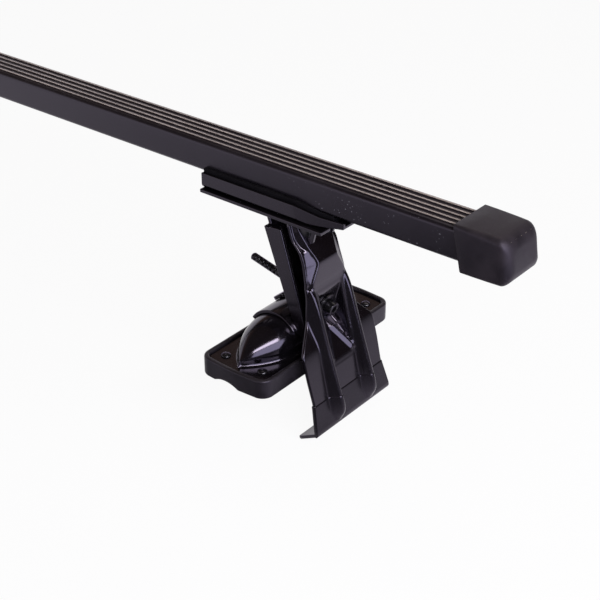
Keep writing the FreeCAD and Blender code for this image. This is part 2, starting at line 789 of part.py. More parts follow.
def pad_carrier():
    low = carrier_top_z - carrier_sheet
    points, radii = pad_outline(pad_rim + move_gap)
    plate = slab("xy", points, low, carrier_top_z, radii)
    drop = ridge_axis_z - low
    body = joined(plate, ridge(ridge_radius, ridge_tip, drop))
    body = body.cut(ridge(ridge_radius - carrier_sheet, ridge_tip - carrier_sheet * 1.6, drop))
    for spot in rivet_spots():
        body = body.cut(rod(rivet_radius + seat_gap, spot - Z_AXIS * rivet_depth, spot + Z_AXIS))
    return body.cut(rod(swivel_radius + seat_gap, swivel_line(0), swivel_line(FAR)))


def rubber_pad():
    points, radii = pad_outline(0)
    pad = slab("xy", points, pad_bottom_z, pad_top_z, radii)
    recess, recess_radii = pad_outline(pad_rim)
    floor = carrier_top_z - carrier_sheet - seat_gap
    pad = pad.cut(slab("xy", recess, floor, pad_top_z + pad_rim, recess_radii))
    sweep = (groove_width ** 2 / 4 + groove_depth ** 2) / (2 * groove_depth)
    pad = pad.cut(cross_rod(sweep, groove_x, pad_bottom_z + groove_depth - sweep, FAR))
    for spot in rivet_spots():
        pad = pad.cut(rod(rivet_radius + seat_gap, spot - Z_AXIS * (rivet_depth + seat_gap), spot))
    return pad


def pad_rivets():
    rivets = []
    for spot in rivet_spots():
        seat = spot + Z_AXIS * seat_gap
        shank = rod(rivet_radius, spot - Z_AXIS * rivet_depth, seat)
        sweep = (rivet_head_radius ** 2 + rivet_head ** 2) / (2 * rivet_head)
        dome = Part.makeSphere(sweep, seat + Z_AXIS * (rivet_head - sweep))
        dome = dome.common(rod(rivet_head_radius, seat, seat + Z_AXIS * rivet_head))
        rivets.append(joined(shank, dome))
    return Part.makeCompound(rivets)


def swivel_rivet():
    collar_outer = ridge_radius + move_gap + upright_sheet
    inside = ridge_radius - carrier_sheet
    shank = rod(swivel_radius, swivel_line(inside - swivel_head), swivel_line(collar_outer + swivel_head))
    head_top = swivel_line(collar_outer + swivel_head * 1.3)
    head = rod(swivel_head_radius, swivel_line(collar_outer - swivel_head), head_top)
    head = head.cut(cross_rod(collar_outer + move_gap, 0, ridge_axis_z, FAR))
    foot = rod(swivel_head_radius, swivel_line(inside - swivel_head), swivel_line(inside + swivel_head))
    foot = foot.common(cross_rod(inside - seat_gap, 0, ridge_axis_z, FAR))
    return joined(shank, head, foot)


FOOT_PIECES = {
    "saddle": saddle,
    "bar_seat": bar_seat,
    "slot_plate": slot_plate,
    "saddle_screws": saddle_screws,
    "upright": upright,
    "pivot_pin": pivot_pin,
    "clamp_plate": clamp_plate,
    "hook_sleeve": hook_sleeve,
    "clamp_bolt": clamp_bolt,
    "bolt_washer": bolt_washer,
    "barrel_nut": barrel_nut,
    "nut_cradle": nut_cradle,
    "pad_carrier": pad_carrier,
    "rubber_pad": rubber_pad,
    "pad_rivets": pad_rivets,
    "swivel_rivet": swivel_rivet,
}


def turned(shape):
    """The same piece at the bar's other end: half a turn about the upright axis."""
    copy = shape.copy()
    copy.rotate(V(0, 0, 0), Z_AXIS, 180)
    return copy


def main():
    os.makedirs("parts", exist_ok=True)
    pieces = {"crossbar": crossbar(), "right_end_cap": end_cap()}
    pieces["left_end_cap"] = turned(pieces["right_end_cap"])
    for name, make in FOOT_PIECES.items():
        shape = make()
        shape.translate(V(foot_offset, 0, bar_underside))
        pieces["right_" + name] = shape
        pieces["left_" + name] = turned(shape)
    for name, shape in pieces.items():
        shape.exportStep(os.path.join("parts", name + ".step"))
        print(name, "solids", len(shape.Solids), "valid", shape.isValid(), "volume", round(shape.Volume, 1))
    centre = V(foot_offset, 0, bar_underside)
    for label, spot in (("pivot", pivot), ("nut", nut_centre), ("seat", seat_point), ("lip tip", lip_tip)):
        print(label, [round(value, 3) for value in spot + centre])
    print("bar underside", round(bar_underside, 3), "nut arm", round(nut_arm, 3))


main()
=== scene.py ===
"""Studio scene of the roof rack: pressed, moulded and threaded detail, finishes, floor and light.

Pieces are modelled in millimetres, a foot's in its own frame (x outward from the pad's axis, z up
from the bar's underside), and put in the rack's frame in metres on both sides of the bar. The clamp
plate has its own frame: n out of the sheet, y across it and v up it from the hook.
"""
import bisect
import bmesh
import bpy
import math
from mathutils import Matrix, Vector


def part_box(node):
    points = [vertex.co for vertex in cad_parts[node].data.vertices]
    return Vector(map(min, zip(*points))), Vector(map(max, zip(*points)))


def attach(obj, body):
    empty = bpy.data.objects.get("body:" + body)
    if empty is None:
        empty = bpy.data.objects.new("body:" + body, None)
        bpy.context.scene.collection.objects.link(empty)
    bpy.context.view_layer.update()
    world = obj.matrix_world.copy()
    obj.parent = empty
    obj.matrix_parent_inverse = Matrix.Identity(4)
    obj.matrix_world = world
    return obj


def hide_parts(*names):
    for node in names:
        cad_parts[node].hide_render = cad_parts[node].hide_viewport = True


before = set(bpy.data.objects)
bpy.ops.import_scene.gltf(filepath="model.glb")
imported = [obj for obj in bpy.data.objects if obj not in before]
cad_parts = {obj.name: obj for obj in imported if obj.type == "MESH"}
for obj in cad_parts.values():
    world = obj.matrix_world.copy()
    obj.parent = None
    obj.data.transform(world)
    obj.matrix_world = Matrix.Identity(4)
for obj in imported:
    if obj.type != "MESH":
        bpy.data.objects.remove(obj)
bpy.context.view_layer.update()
scene = bpy.context.scene
scene.view_settings.view_transform = "Standard"

# Sizes in millimetres, as in the solids
MM = 0.001
FOOT_X = 423.5
BAR_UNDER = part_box("crossbar")[0][2] / MM
BAR_HALF = 595.0
BAR_HEIGHT = 23.0
CLAMP_LEAN = math.radians(14.3)
PIVOT = Vector((16.0, 0.0, -20.0))
SHEET = 2.5
EYE_V = 141.0
EYE_N = -0.9
SEAT_N = -6.65
SEAT_V = 82.4
BOLT_LEAN = math.radians(13.4)
SIDES = ("right", "left")


# Placing
def rack_place(side, x):
    """From millimetres over the bar's underside to the rack's metres; the left is turned."""
    turn = Matrix.Rotation(math.pi if side == "left" else 0.0, 4, "Z")
    return Matrix.Scale(MM, 4) @ turn @ Matrix.Translation((x, 0.0, BAR_UNDER))


CLAMP_TURN = Matrix.Rotation(-CLAMP_LEAN, 4, "Y")
CLAMP_PLACE = Matrix.Translation(PIVOT - CLAMP_TURN @ Vector((EYE_N, 0.0, EYE_V))) @ CLAMP_TURN
SEAT = CLAMP_PLACE @ Vector((SEAT_N, 0.0, SEAT_V))
BOLT_OUT = Vector((math.cos(BOLT_LEAN), 0.0, -math.sin(BOLT_LEAN)))
BOLT_PLACE = Matrix.Translation(SEAT) @ BOLT_OUT.to_track_quat("Z", "Y").to_matrix().to_4x4()


def mesh_of(name, points, faces):
    mesh = bpy.data.meshes.new(name)
    mesh.from_pydata([tuple(point) for point in points], [], faces)
    mesh.validate()
    return mesh


def smooth_shade(mesh, sharp_degrees):
    mesh.polygons.foreach_set("use_smooth", [True] * len(mesh.polygons))
    mesh.set_sharp_from_angle(angle=math.radians(sharp_degrees))


def show_piece(node, mesh, body, material):
    """Puts a finished mesh in the scene as the piece that stands for a node."""
    piece = bpy.data.objects.new(node + "_finish", mesh)
    scene.collection.objects.link(piece)
    mesh.materials.clear()
    mesh.materials.append(material)
    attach(piece, body)
    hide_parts(node)
    return piece


def foot_piece(name, body, material, make, sharp_degrees):
    """The same piece on both feet, made in a foot's millimetres."""
    for side in SIDES:
        mesh = make()
        mesh.transform(rack_place(side, FOOT_X))
        smooth_shade(mesh, sharp_degrees)
        show_piece(side + "_" + name, mesh, side + "_" + body, material)


# Meshes by rule
def merged(*meshes):
    """One mesh from several."""
    work = bmesh.new()
    for mesh in meshes:
        work.from_mesh(mesh)
        bpy.data.meshes.remove(mesh)
    whole = bpy.data.meshes.new("merged")
    work.to_mesh(whole)
    work.free()
    return whole


def face_outward(mesh, weld=0.0):
    """Turns all faces outward, after points closer than weld are made one."""
    work = bmesh.new()
    work.from_mesh(mesh)
    if weld > 0:
        bmesh.ops.remove_doubles(work, verts=work.verts, dist=weld)
    bmesh.ops.recalc_face_normals(work, faces=work.faces)
    work.to_mesh(mesh)
    work.free()


def rounded_path(corners, radii, steps):
    """Points along an open outline through corners, each rounded by its own arc."""
    points = [Vector(corners[0])]
    for index in range(1, len(corners) - 1):
        corner = Vector(corners[index])
        radius = radii[index]
        if radius == 0:
            points.append(corner)
            continue
        back = (Vector(corners[index - 1]) - corner).normalized()
        ahead = (Vector(corners[index + 1]) - corner).normalized()
        half = back.angle(ahead) / 2
        centre = corner + (back + ahead).normalized() * (radius / math.sin(half))
        start = corner + back * (radius / math.tan(half)) - centre
        end = corner + ahead * (radius / math.tan(half)) - centre
        for step in range(steps + 1):
            share = step / steps
            points.append(centre + (start * (1 - share) + end * share).normalized() * radius)
    points.append(Vector(corners[-1]))
    return points


def ring_faces(rings, around, capped):
    """Faces between rings of points that follow one another, with both ends closed if capped."""
    faces = []
    for ring in range(rings - 1):
        low = ring * around
        high = low + around
        for step in range(around):
            after = (step + 1) % around
            faces.append((low + step, low + after, high + after, high + step))
    if capped:
        last = (rings - 1) * around
        faces.append(tuple(reversed(range(around))))
        faces.append(tuple(range(last, last + around)))
    return faces


def turned(profile, around, capped=True):
    """Round body about its own Z axis from (radius, height) pairs.

    A radius may be a function of the angle.
    """
    points = []
    for radius, height in profile:
        for step in range(around):
            angle = 2 * math.pi * step / around
            reach = radius(angle) if callable(radius) else radius
            points.append((reach * math.cos(angle), reach * math.sin(angle), height))
    return mesh_of("turned", points, ring_faces(len(profile), around, capped))


def hexagon(flats):
    """Distance of a six-sided outline from its middle, by the angle."""
    def reach(angle):
        from_flat = (angle + math.pi / 6) % (math.pi / 3) - math.pi / 6
        return flats / 2 / math.cos(from_flat)
    return reach


EASED_WELD = 2e-6
EASED_FLAT_DEGREES = 0.4
EASED_EDGE_DEGREES = 24.0
EASED_SHARP_DEGREES = 40.0


def eased(node, width, segments):
    """A solid's own surface in the rack's metres, with its sharp edges rounded."""
    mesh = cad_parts[node].data.copy()
    work = bmesh.new()
    work.from_mesh(mesh)
    bmesh.ops.remove_doubles(work, verts=work.verts, dist=EASED_WELD)
    bmesh.ops.dissolve_limit(work, angle_limit=math.radians(EASED_FLAT_DEGREES),
                             verts=work.verts, edges=work.edges)
    limit = math.radians(EASED_EDGE_DEGREES)
    sharp = [edge for edge in work.edges if edge.is_manifold and edge.calc_face_angle() > limit]
    bmesh.ops.bevel(work, geom=sharp, offset=width * MM, offset_type="OFFSET", segments=segments,
                    profile=0.5, affect="EDGES", clamp_overlap=False, loop_slide=True,
                    miter_outer="ARC")
    bmesh.ops.remove_doubles(work, verts=work.verts, dist=EASED_WELD)
    work.to_mesh(mesh)
    work.free()
    smooth_shade(mesh, EASED_SHARP_DEGREES)
    return mesh


def eased_piece(node, body, material, width, segments=3):
    piece = show_piece(node, eased(node, width, segments), body, material)
    weigh = piece.modifiers.new("flat faces stay flat", "WEIGHTED_NORMAL")
    weigh.keep_sharp = True


# Nodes, fed with plain values or with the sockets of other nodes
def feed(tree, entry, value):
    """Links a socket to an input, or sets the input's own value."""
    if isinstance(value, bpy.types.NodeSocket):
        tree.links.new(value, entry)
    elif entry.type == "RGBA":
        entry.default_value = (*value, 1.0)
    else:
        entry.default_value = value


def add_node(tree, kind, **values):
    """Node with its settings and with its inputs fed by name."""
    node = tree.nodes.new(kind)
    node.location = (200 * len(tree.nodes), 0)
    for name, value in values.items():
        if name in node.inputs:
            feed(tree, node.inputs[name], value)
        else:
            setattr(node, name, value)
    return node


def math_of(tree, operation, *terms, use_clamp=False):
    node = add_node(tree, "ShaderNodeMath", operation=operation, use_clamp=use_clamp)
    for entry, term in zip(node.inputs, terms):
        feed(tree, entry, term)
    return node.outputs[0]


def map_range(tree, value, low=0.0, high=1.0, to_low=0.0, to_high=1.0):
    """Takes a value from one range to another, and holds it inside that."""
    values = {"Value": value, "From Min": low, "From Max": high, "To Min": to_low,
              "To Max": to_high}
    return add_node(tree, "ShaderNodeMapRange", **values).outputs["Result"]


def colour_mix(tree, share, first, second):
    """Colour between two, by the share of the second."""
    node = add_node(tree, "ShaderNodeMix", data_type="RGBA", Factor=share, A=first, B=second)
    return node.outputs["Result"]


def ramp_of(tree, value, marks):
    """Colour from a ramp with (place, colour) marks; a new ramp has two."""
    node = add_node(tree, "ShaderNodeValToRGB", Fac=value)
    elements = node.color_ramp.elements
    for step, (position, colour) in enumerate(marks):
        mark = elements[step] if step < 2 else elements.new(position)
        mark.position = position
        mark.color = (*colour, 1.0)
    return node.outputs["Color"]


def part_of(tree, vector, axis):
    return add_node(tree, "ShaderNodeSeparateXYZ", Vector=vector).outputs[axis]


def noise(tree, place, **values):
    return add_node(tree, "ShaderNodeTexNoise", Vector=place, **values).outputs["Fac"]


def dots(tree, place, scale, rim, full):
    """Small round dots, one in each cell, from nothing at the rim to full."""
    cells = add_node(tree, "ShaderNodeTexVoronoi", Vector=place, Scale=scale)
    return map_range(tree, cells.outputs["Distance"], rim, full)


def node_group(name, kind, inputs, outputs):
    """Node group with (label, type) sockets, its input's sockets and its output's sockets."""
    tree = bpy.data.node_groups.new(name, kind)
    for direction, sockets in (("INPUT", inputs), ("OUTPUT", outputs)):
        for label, value in sockets:
            tree.interface.new_socket(label, in_out=direction, socket_type="NodeSocket" + value)
    start = add_node(tree, "NodeGroupInput")
    end = add_node(tree, "NodeGroupOutput")
    return tree, start.outputs, end.inputs


# Shader groups
def surface_grain_group():
    """Fine grain of paint, plastic and rubber: a height for bumps, a mask for tone and gloss."""
    tree, start, end = node_group("surface_grain", "ShaderNodeTree",
                                  [("Grain Size", "Float"), ("Mottle Size", "Float")],
                                  [("Height", "Float"), ("Mottle", "Float")])
    place = add_node(tree, "ShaderNodeTexCoord").outputs["Object"]
    fine_scale = math_of(tree, "DIVIDE", 1.0, start["Grain Size"])
    broad_scale = math_of(tree, "DIVIDE", 1.0, start["Mottle Size"])
    fine = noise(tree, place, Scale=fine_scale, Detail=4.0, Roughness=0.6)
    broad = noise(tree, place, Scale=broad_scale, Detail=3.0, Roughness=0.55)
    feed(tree, end["Height"], fine)
    feed(tree, end["Mottle"], map_range(tree, broad, 0.35, 0.65))
    return tree


DUST_COLOUR = (0.34, 0.31, 0.28)
DUST_FILM = 0.5
DUST_DULLS = 0.4


def settled_dust_group():
    """Specks and a thin film of dust on faces that look up."""
    tree, start, end = node_group("settled_dust", "ShaderNodeTree",
                                  [("Amount", "Float"), ("Color", "Color")],
                                  [("Color", "Color"), ("Dust", "Float")])
    place = add_node(tree, "ShaderNodeTexCoord").outputs
    upward = map_range(tree, part_of(tree, place["Normal"], "Z"), 0.2)
    film = noise(tree, place["Object"], Scale=60.0, Detail=5.0, Roughness=0.65)
    film = math_of(tree, "MULTIPLY", film, DUST_FILM)
    specks = dots(tree, place["Object"], 420.0, 0.16, 0.06)
    both = math_of(tree, "MULTIPLY", math_of(tree, "ADD", film, specks), upward)
    level = math_of(tree, "MULTIPLY", both, start["Amount"], use_clamp=True)
    feed(tree, end["Color"], colour_mix(tree, level, start["Color"], DUST_COLOUR))
    feed(tree, end["Dust"], level)
    return tree


GRAIN = surface_grain_group()
DUST = settled_dust_group()


# Finishes, with grain and mottle in millimetres
def finish(name, dark, pale, rough, rough_spread, grain, grain_height, mottle, dust, metal=0.0,
           tint=(0.9, 0.8, 1.0), specular=0.45):
    """Material with a mottled tone, a fine bump and a little dust."""
    material = bpy.data.materials.new(name)
    material.use_nodes = True
    tree = material.node_tree
    sizes = {"Grain Size": grain * MM, "Mottle Size": mottle * MM}
    texture = add_node(tree, "ShaderNodeGroup", node_tree=GRAIN, **sizes).outputs
    tone = colour_mix(tree, texture["Mottle"], dark, pale)
    settled = add_node(tree, "ShaderNodeGroup", node_tree=DUST, Amount=dust, Color=tone).outputs
    gloss = map_range(tree, texture["Mottle"], to_low=rough - rough_spread,
                      to_high=rough + rough_spread)
    dulled = math_of(tree, "MULTIPLY_ADD", settled["Dust"], DUST_DULLS, gloss, use_clamp=True)
    bump = add_node(tree, "ShaderNodeBump", Distance=grain_height * MM, Strength=1.0,
                    Height=texture["Height"])
    values = {"Base Color": settled["Color"], "Roughness": dulled, "Metallic": metal,
              "Specular IOR Level": specular, "Specular Tint": tint,
              "Normal": bump.outputs["Normal"]}
    for label, value in values.items():
        feed(tree, tree.nodes["Principled BSDF"].inputs[label], value)
    return material


BLACK_GLOSS = finish(
    "black_gloss_paint", dark=(0.0016, 0.0013, 0.0019), pale=(0.0032, 0.0027, 0.0036),
    rough=0.15, rough_spread=0.03, grain=1.6, grain_height=0.005, mottle=30.0, dust=0.012,
    specular=0.72)
BAR_SATIN = finish(
    "black_satin_bar_paint", dark=(0.004, 0.0033, 0.005), pale=(0.007, 0.006, 0.008),
    rough=0.31, rough_spread=0.05, grain=0.7, grain_height=0.006, mottle=45.0, dust=0.015,
    specular=0.56)
CAP_PLASTIC = finish(
    "black_cap_plastic", dark=(0.0085, 0.007, 0.009), pale=(0.0145, 0.0115, 0.014),
    rough=0.46, rough_spread=0.06, grain=0.45, grain_height=0.02, mottle=14.0, dust=0.06,
    specular=0.36)
# Black liner plastic with painted shade: it is made darker and almost without shine, so the liner's
# edge under the saddle shows as the dark gap there
LINER_PLASTIC_AND_SHADE = finish(
    "black_liner_plastic_and_painted_shade", dark=(0.0022, 0.002, 0.0026), pale=(0.0042, 0.004, 0.0048),
    rough=0.75, rough_spread=0.06, grain=0.5, grain_height=0.02, mottle=12.0, dust=0.02,
    specular=0.1)
SLEEVE_COAT = finish(
    "black_sleeve_coat", dark=(0.003, 0.0025, 0.0035), pale=(0.006, 0.005, 0.0065),
    rough=0.22, rough_spread=0.04, grain=1.1, grain_height=0.008, mottle=18.0, dust=0.02)
PAD_RUBBER = finish(
    "black_pad_rubber", dark=(0.005, 0.0042, 0.0055), pale=(0.010, 0.0085, 0.0105),
    rough=0.42, rough_spread=0.07, grain=0.6, grain_height=0.025, mottle=16.0, dust=0.07)
BLACK_STEEL = finish(
    "blackened_steel", dark=(0.035, 0.034, 0.038), pale=(0.07, 0.068, 0.072),
    rough=0.26, rough_spread=0.05, grain=0.5, grain_height=0.006, mottle=8.0, dust=0.02,
    metal=0.9)
ZINC = finish(
    "zinc_plate", dark=(0.46, 0.46, 0.48), pale=(0.62, 0.61, 0.6),
    rough=0.34, rough_spread=0.08, grain=0.6, grain_height=0.006, mottle=5.0, dust=0.05,
    metal=1.0, tint=(1.0, 1.0, 1.0))


# Pale crests and scuffs on the bar's paint
PALE_CREST_COLOUR = (0.40, 0.345, 0.305)
SPECK_COLOUR = (0.24, 0.24, 0.27)
CREST_Z = (BAR_UNDER + BAR_HEIGHT) * MM
SCUFF_X = 0.5
SCUFF_REACH = 0.075


def paint_over(tree, colour, *shares):
    """Shows a colour over the paint, by the product of the shares."""
    level = shares[0]
    for share in shares[1:]:
        level = math_of(tree, "MULTIPLY", level, share)
    base = tree.nodes["Principled BSDF"].inputs["Base Color"]
    feed(tree, base, colour_mix(tree, level, base.links[0].from_socket, colour))


def pale_rib_crests():
    """Pale, patchy colour along the crests of the bar's ribs."""
    tree = BAR_SATIN.node_tree
    place = add_node(tree, "ShaderNodeTexCoord").outputs["Object"]
    crest = map_range(tree, part_of(tree, place, "Z"), CREST_Z - 0.16 * MM, CREST_Z - 0.03 * MM)
    stretch = add_node(tree, "ShaderNodeMapping", Vector=place, Scale=(9.0, 160.0, 160.0))
    patches = noise(tree, stretch.outputs["Vector"], Scale=1.0, Detail=4.0, Roughness=0.6)
    paint_over(tree, PALE_CREST_COLOUR, crest, map_range(tree, patches, 0.3, 0.62, to_low=0.55))


def scuff_front():
    """Fine pale specks on the bar's front, near its right end."""
    tree = BAR_SATIN.node_tree
    place = add_node(tree, "ShaderNodeTexCoord").outputs
    off = math_of(tree, "SUBTRACT", part_of(tree, place["Object"], "X"), SCUFF_X)
    near = map_range(tree, math_of(tree, "ABSOLUTE", off), SCUFF_REACH, SCUFF_REACH * 0.6)
    front = map_range(tree, part_of(tree, place["Normal"], "Y"), -0.6, -0.9)
    specks = dots(tree, place["Object"], 480.0, 0.2, 0.1)
    drift = noise(tree, place["Object"], Scale=95.0, Detail=2.0)
    paint_over(tree, SPECK_COLOUR, near, front, specks, map_range(tree, drift, 0.5, 0.66))


pale_rib_crests()
scuff_front()


# Geometry node trees
def geometry_tree(name, *inputs):
    """Geometry tree with its own inputs between the geometry and the paint."""
    return node_group(name, "GeometryNodeTree",
                      [("Geometry", "Geometry"), *inputs, ("Paint", "Material")],
                      [("Geometry", "Geometry")])


def hand_out(tree, start, shape, end):
    """Makes a shape real, paints it and hands it out."""
    real = add_node(tree, "GeometryNodeRealizeInstances", Geometry=shape)
    painted = add_node(tree, "GeometryNodeSetMaterial", Geometry=real.outputs[0],
                       Material=start["Paint"])
    feed(tree, end["Geometry"], painted.outputs[0])


def swept(tree, curve, section, caps):
    """Mesh swept along a curve."""
    values = {"Curve": curve.outputs[0], "Profile Curve": section.outputs[0], "Fill Caps": caps}
    return add_node(tree, "GeometryNodeCurveToMesh", **values).outputs[0]


def swept_bar_tree():
    """Sweeps a closed section along the bar's length."""
    tree, start, end = geometry_tree("swept_bar", ("Half Length", "Float"))
    minus = math_of(tree, "MULTIPLY", start["Half Length"], -1.0)
    low = add_node(tree, "ShaderNodeCombineXYZ", X=minus)
    high = add_node(tree, "ShaderNodeCombineXYZ", X=start["Half Length"])
    line = add_node(tree, "GeometryNodeCurvePrimitiveLine", Start=low.outputs[0],
                    End=high.outputs[0])
    turn = add_node(tree, "GeometryNodeSetCurveNormal", mode="Z_UP", Curve=line.outputs[0])
    section = add_node(tree, "GeometryNodeMeshToCurve", Mesh=start["Geometry"])
    hand_out(tree, start, swept(tree, turn, section, False), end)
    return tree


def thread_tree():
    """Thread ridge wound round a rod along Z, from its height zero upward."""
    tree, start, end = geometry_tree("thread_ridge", ("Root Radius", "Float"), ("Ridge", "Float"),
                                     ("Pitch", "Float"), ("Turns", "Float"))
    values = {"Height": math_of(tree, "MULTIPLY", start["Pitch"], start["Turns"]),
              "Rotations": start["Turns"], "Start Radius": start["Root Radius"],
              "End Radius": start["Root Radius"]}
    helix = add_node(tree, "GeometryNodeCurveSpiral", Resolution=18, **values)
    ridge = add_node(tree, "GeometryNodeCurvePrimitiveCircle", Resolution=4,
                     Radius=start["Ridge"])
    hand_out(tree, start, swept(tree, helix, ridge, True), end)
    return tree


def row_of_fasteners_tree():
    """Sets one fastener at each point of the mesh it is put on."""
    tree, start, end = geometry_tree("row_of_fasteners", ("Fastener", "Object"))
    one = add_node(tree, "GeometryNodeObjectInfo", Object=start["Fastener"])
    row = add_node(tree, "GeometryNodeInstanceOnPoints", Points=start["Geometry"],
                   Instance=one.outputs["Geometry"])
    hand_out(tree, start, row.outputs[0], end)
    return tree


def grown(mesh, tree, **values):
    """The plain mesh that a node tree makes from a mesh."""
    holder = bpy.data.objects.new("holder", mesh)
    scene.collection.objects.link(holder)
    modifier = holder.modifiers.new("tree", "NODES")
    modifier.node_group = tree
    for item in tree.interface.items_tree:
        if item.in_out == "INPUT" and item.name in values:
            modifier[item.identifier] = values[item.name]
    bpy.context.view_layer.update()
    shown = holder.evaluated_get(bpy.context.evaluated_depsgraph_get())
    result = bpy.data.meshes.new_from_object(shown)
    holder.modifiers.clear()
    bpy.data.objects.remove(holder)
    return result


BAR_TREE = swept_bar_tree()
THREAD_TREE = thread_tree()
FASTENER_TREE = row_of_fasteners_tree()


# Crossbar: ribbed top, rounded edges, slot along the underside
def crossbar_section():
    half = 16.0
    crown = 22.1
    wall = 2.0
    slot = 5.5
    edge_round = 3.0
    rib_pitch = 5.6
    rib_foot = 1.5
    rib_crest = 0.7
    outer = [(slot, 0.0), (half, 0.0), (half, crown)]
    radii = [0.0, edge_round, edge_round]
    for rib in (2, 1, 0, -1, -2):
        middle = rib * rib_pitch
        outer += [(middle + rib_foot, crown), (middle + rib_crest, BAR_HEIGHT),
                  (middle - rib_crest, BAR_HEIGHT), (middle - rib_foot, crown)]
        radii += [0.3, 0.4, 0.4, 0.3]
    outer += [(-half, crown), (-half, 0.0), (-slot, 0.0)]
    radii += [edge_round, edge_round, 0.0]
    inside = half - wall
    ceiling = crown - wall
    inner = [(-slot, wall), (-inside, wall), (-inside, ceiling), (inside, ceiling), (inside, wall),
             (slot, wall)]
    path = rounded_path(outer, radii, 5) + rounded_path(inner, [0.0, 1.0, 1.0, 1.0, 1.0, 0.0], 3)
    points = [(-point.x * MM, -point.y * MM, 0.0) for point in path]
    edges = [(index, (index + 1) % len(points)) for index in range(len(points))]
    mesh = bpy.data.meshes.new("section")
    mesh.from_pydata(points, edges, [])
    return mesh


def make_crossbar():
    values = {"Half Length": BAR_HALF * MM, "Paint": BAR_SATIN}
    mesh = grown(crossbar_section(), BAR_TREE, **values)
    mesh.transform(Matrix.Translation((0.0, 0.0, BAR_UNDER * MM)))
    face_outward(mesh)
    smooth_shade(mesh, sharp_degrees=35.0)
    show_piece("crossbar", mesh, "bar", BAR_SATIN)


# End caps
def cap_mesh():
    """Moulded cap as rings from the socket, round the mouth and over the end."""
    half = 19.0
    top = 26.0
    bottom = -5.0
    mouth_x = 558.5
    mouth_slant = 7.0
    end_x = 600.0
    end_slant = 3.5
    end_plumb = 0.29
    length = end_x - mouth_x
    corner = 7.0
    nose = 9.0
    heel = 9.0
    least_round = 0.6
    round_loss = 0.6
    round_below = 0.6
    corner_steps = 8
    end_steps = 12
    quarters = ((-1, -1, math.pi), (1, -1, -math.pi / 2), (1, 1, 0.0), (-1, 1, math.pi / 2))

    def inset(reach, radius):
        if reach >= radius:
            return 0.0
        return radius - math.sqrt(max(0.0, radius * radius - (radius - reach) ** 2))

    def ring(share, shrink, edge):
        """One ring at a share of the length, drawn in by shrink and by the rounds of the end."""
        reach = (1 - share) * length
        side = half - shrink - inset(reach, corner)
        high = top - shrink - inset(reach, nose)
        low = bottom + shrink + inset(reach, heel)
        round_top = max(least_round, edge - round_loss * shrink)
        points = []
        for sign_y, sign_z, base in quarters:
            radius = round_top if sign_z > 0 else round_top * round_below
            middle_y = sign_y * (side - radius)
            middle_z = high - radius if sign_z > 0 else low + radius
            for step in range(corner_steps + 1):
                angle = base + math.pi / 2 * step / corner_steps
                y = middle_y + radius * math.cos(angle)
                z = middle_z + radius * math.sin(angle)
                rise = (z - bottom) / (top - bottom)
                start = mouth_x + mouth_slant * (1 - rise)
                stop = end_x - end_slant * max(0.0, rise - end_plumb) / (1 - end_plumb)
                points.append(Vector((start + (stop - start) * share, y, z)))
        return points

    # Rings up to the end's round, as (share of the length, shrink, round of the edges)
    stages = [(0.25, 2.85, 2.6), (0.02, 2.85, 2.6), (0.004, 2.6, 2.6), (0.0, 2.3, 2.6),
              (0.0, 0.35, 2.6), (0.003, 0.12, 2.6), (0.01, 0.0, 2.6), (0.25, 0.0, 3.0),
              (0.5, 0.0, 3.8), (0.65, 0.0, 4.4)]
    for step in range(1, end_steps + 1):
        angle = math.pi / 2 * step / end_steps
        stages.append((1 - nose * (1 - math.sin(angle)) / length, 0.0, 5.0 + step / end_steps))
    rings = [ring(*stage) for stage in stages]
    points = [point for loop in rings for point in loop]
    mesh = mesh_of("cap", points, ring_faces(len(rings), len(rings[0]), True))
    face_outward(mesh, weld=0.001)
    return mesh


def make_end_caps():
    for side in SIDES:
        mesh = cap_mesh()
        mesh.transform(rack_place(side, 0.0))
        smooth_shade(mesh, sharp_degrees=40.0)
        show_piece(side + "_end_cap", mesh, "bar", CAP_PLASTIC)


# Clamp plate: a pressed sheet given by the height of its front over a plane, n over (y, v)
def rounded_max(a, b, radius):
    return 0.5 * (a + b + math.sqrt((a - b) ** 2 + radius * radius))


def rounded_min(a, b, radius):
    return 0.5 * (a + b - math.sqrt((a - b) ** 2 + radius * radius))


def eased_step(value, low, high):
    share = min(1.0, max(0.0, (value - low) / (high - low)))
    return share * share * (3 - 2 * share)


class Curve:
    """Value along a row of (place, value) pairs, eased between them."""

    def __init__(self, pairs):
        self.places = [place for place, value in pairs]
        self.values = [value for place, value in pairs]

    def at(self, place):
        if place <= self.places[0]:
            return self.values[0]
        if place >= self.places[-1]:
            return self.values[-1]
        index = bisect.bisect_right(self.places, place) - 1
        before = max(0, index - 1)
        after = min(len(self.places) - 1, index + 2)
        low = self.places[index]
        high = self.places[index + 1]
        start = self.values[index]
        stop = self.values[index + 1]
        span = high - low
        share = (place - low) / span
        start_slope = (stop - self.values[before]) / (high - self.places[before]) * span
        stop_slope = (self.values[after] - start) / (self.places[after] - low) * span
        from_start = 2 * share ** 3 - 3 * share ** 2 + 1
        from_stop = -2 * share ** 3 + 3 * share ** 2
        leaving = share ** 3 - 2 * share ** 2 + share
        arriving = share ** 3 - share ** 2
        return from_start * start + leaving * start_slope + from_stop * stop + arriving * stop_slope


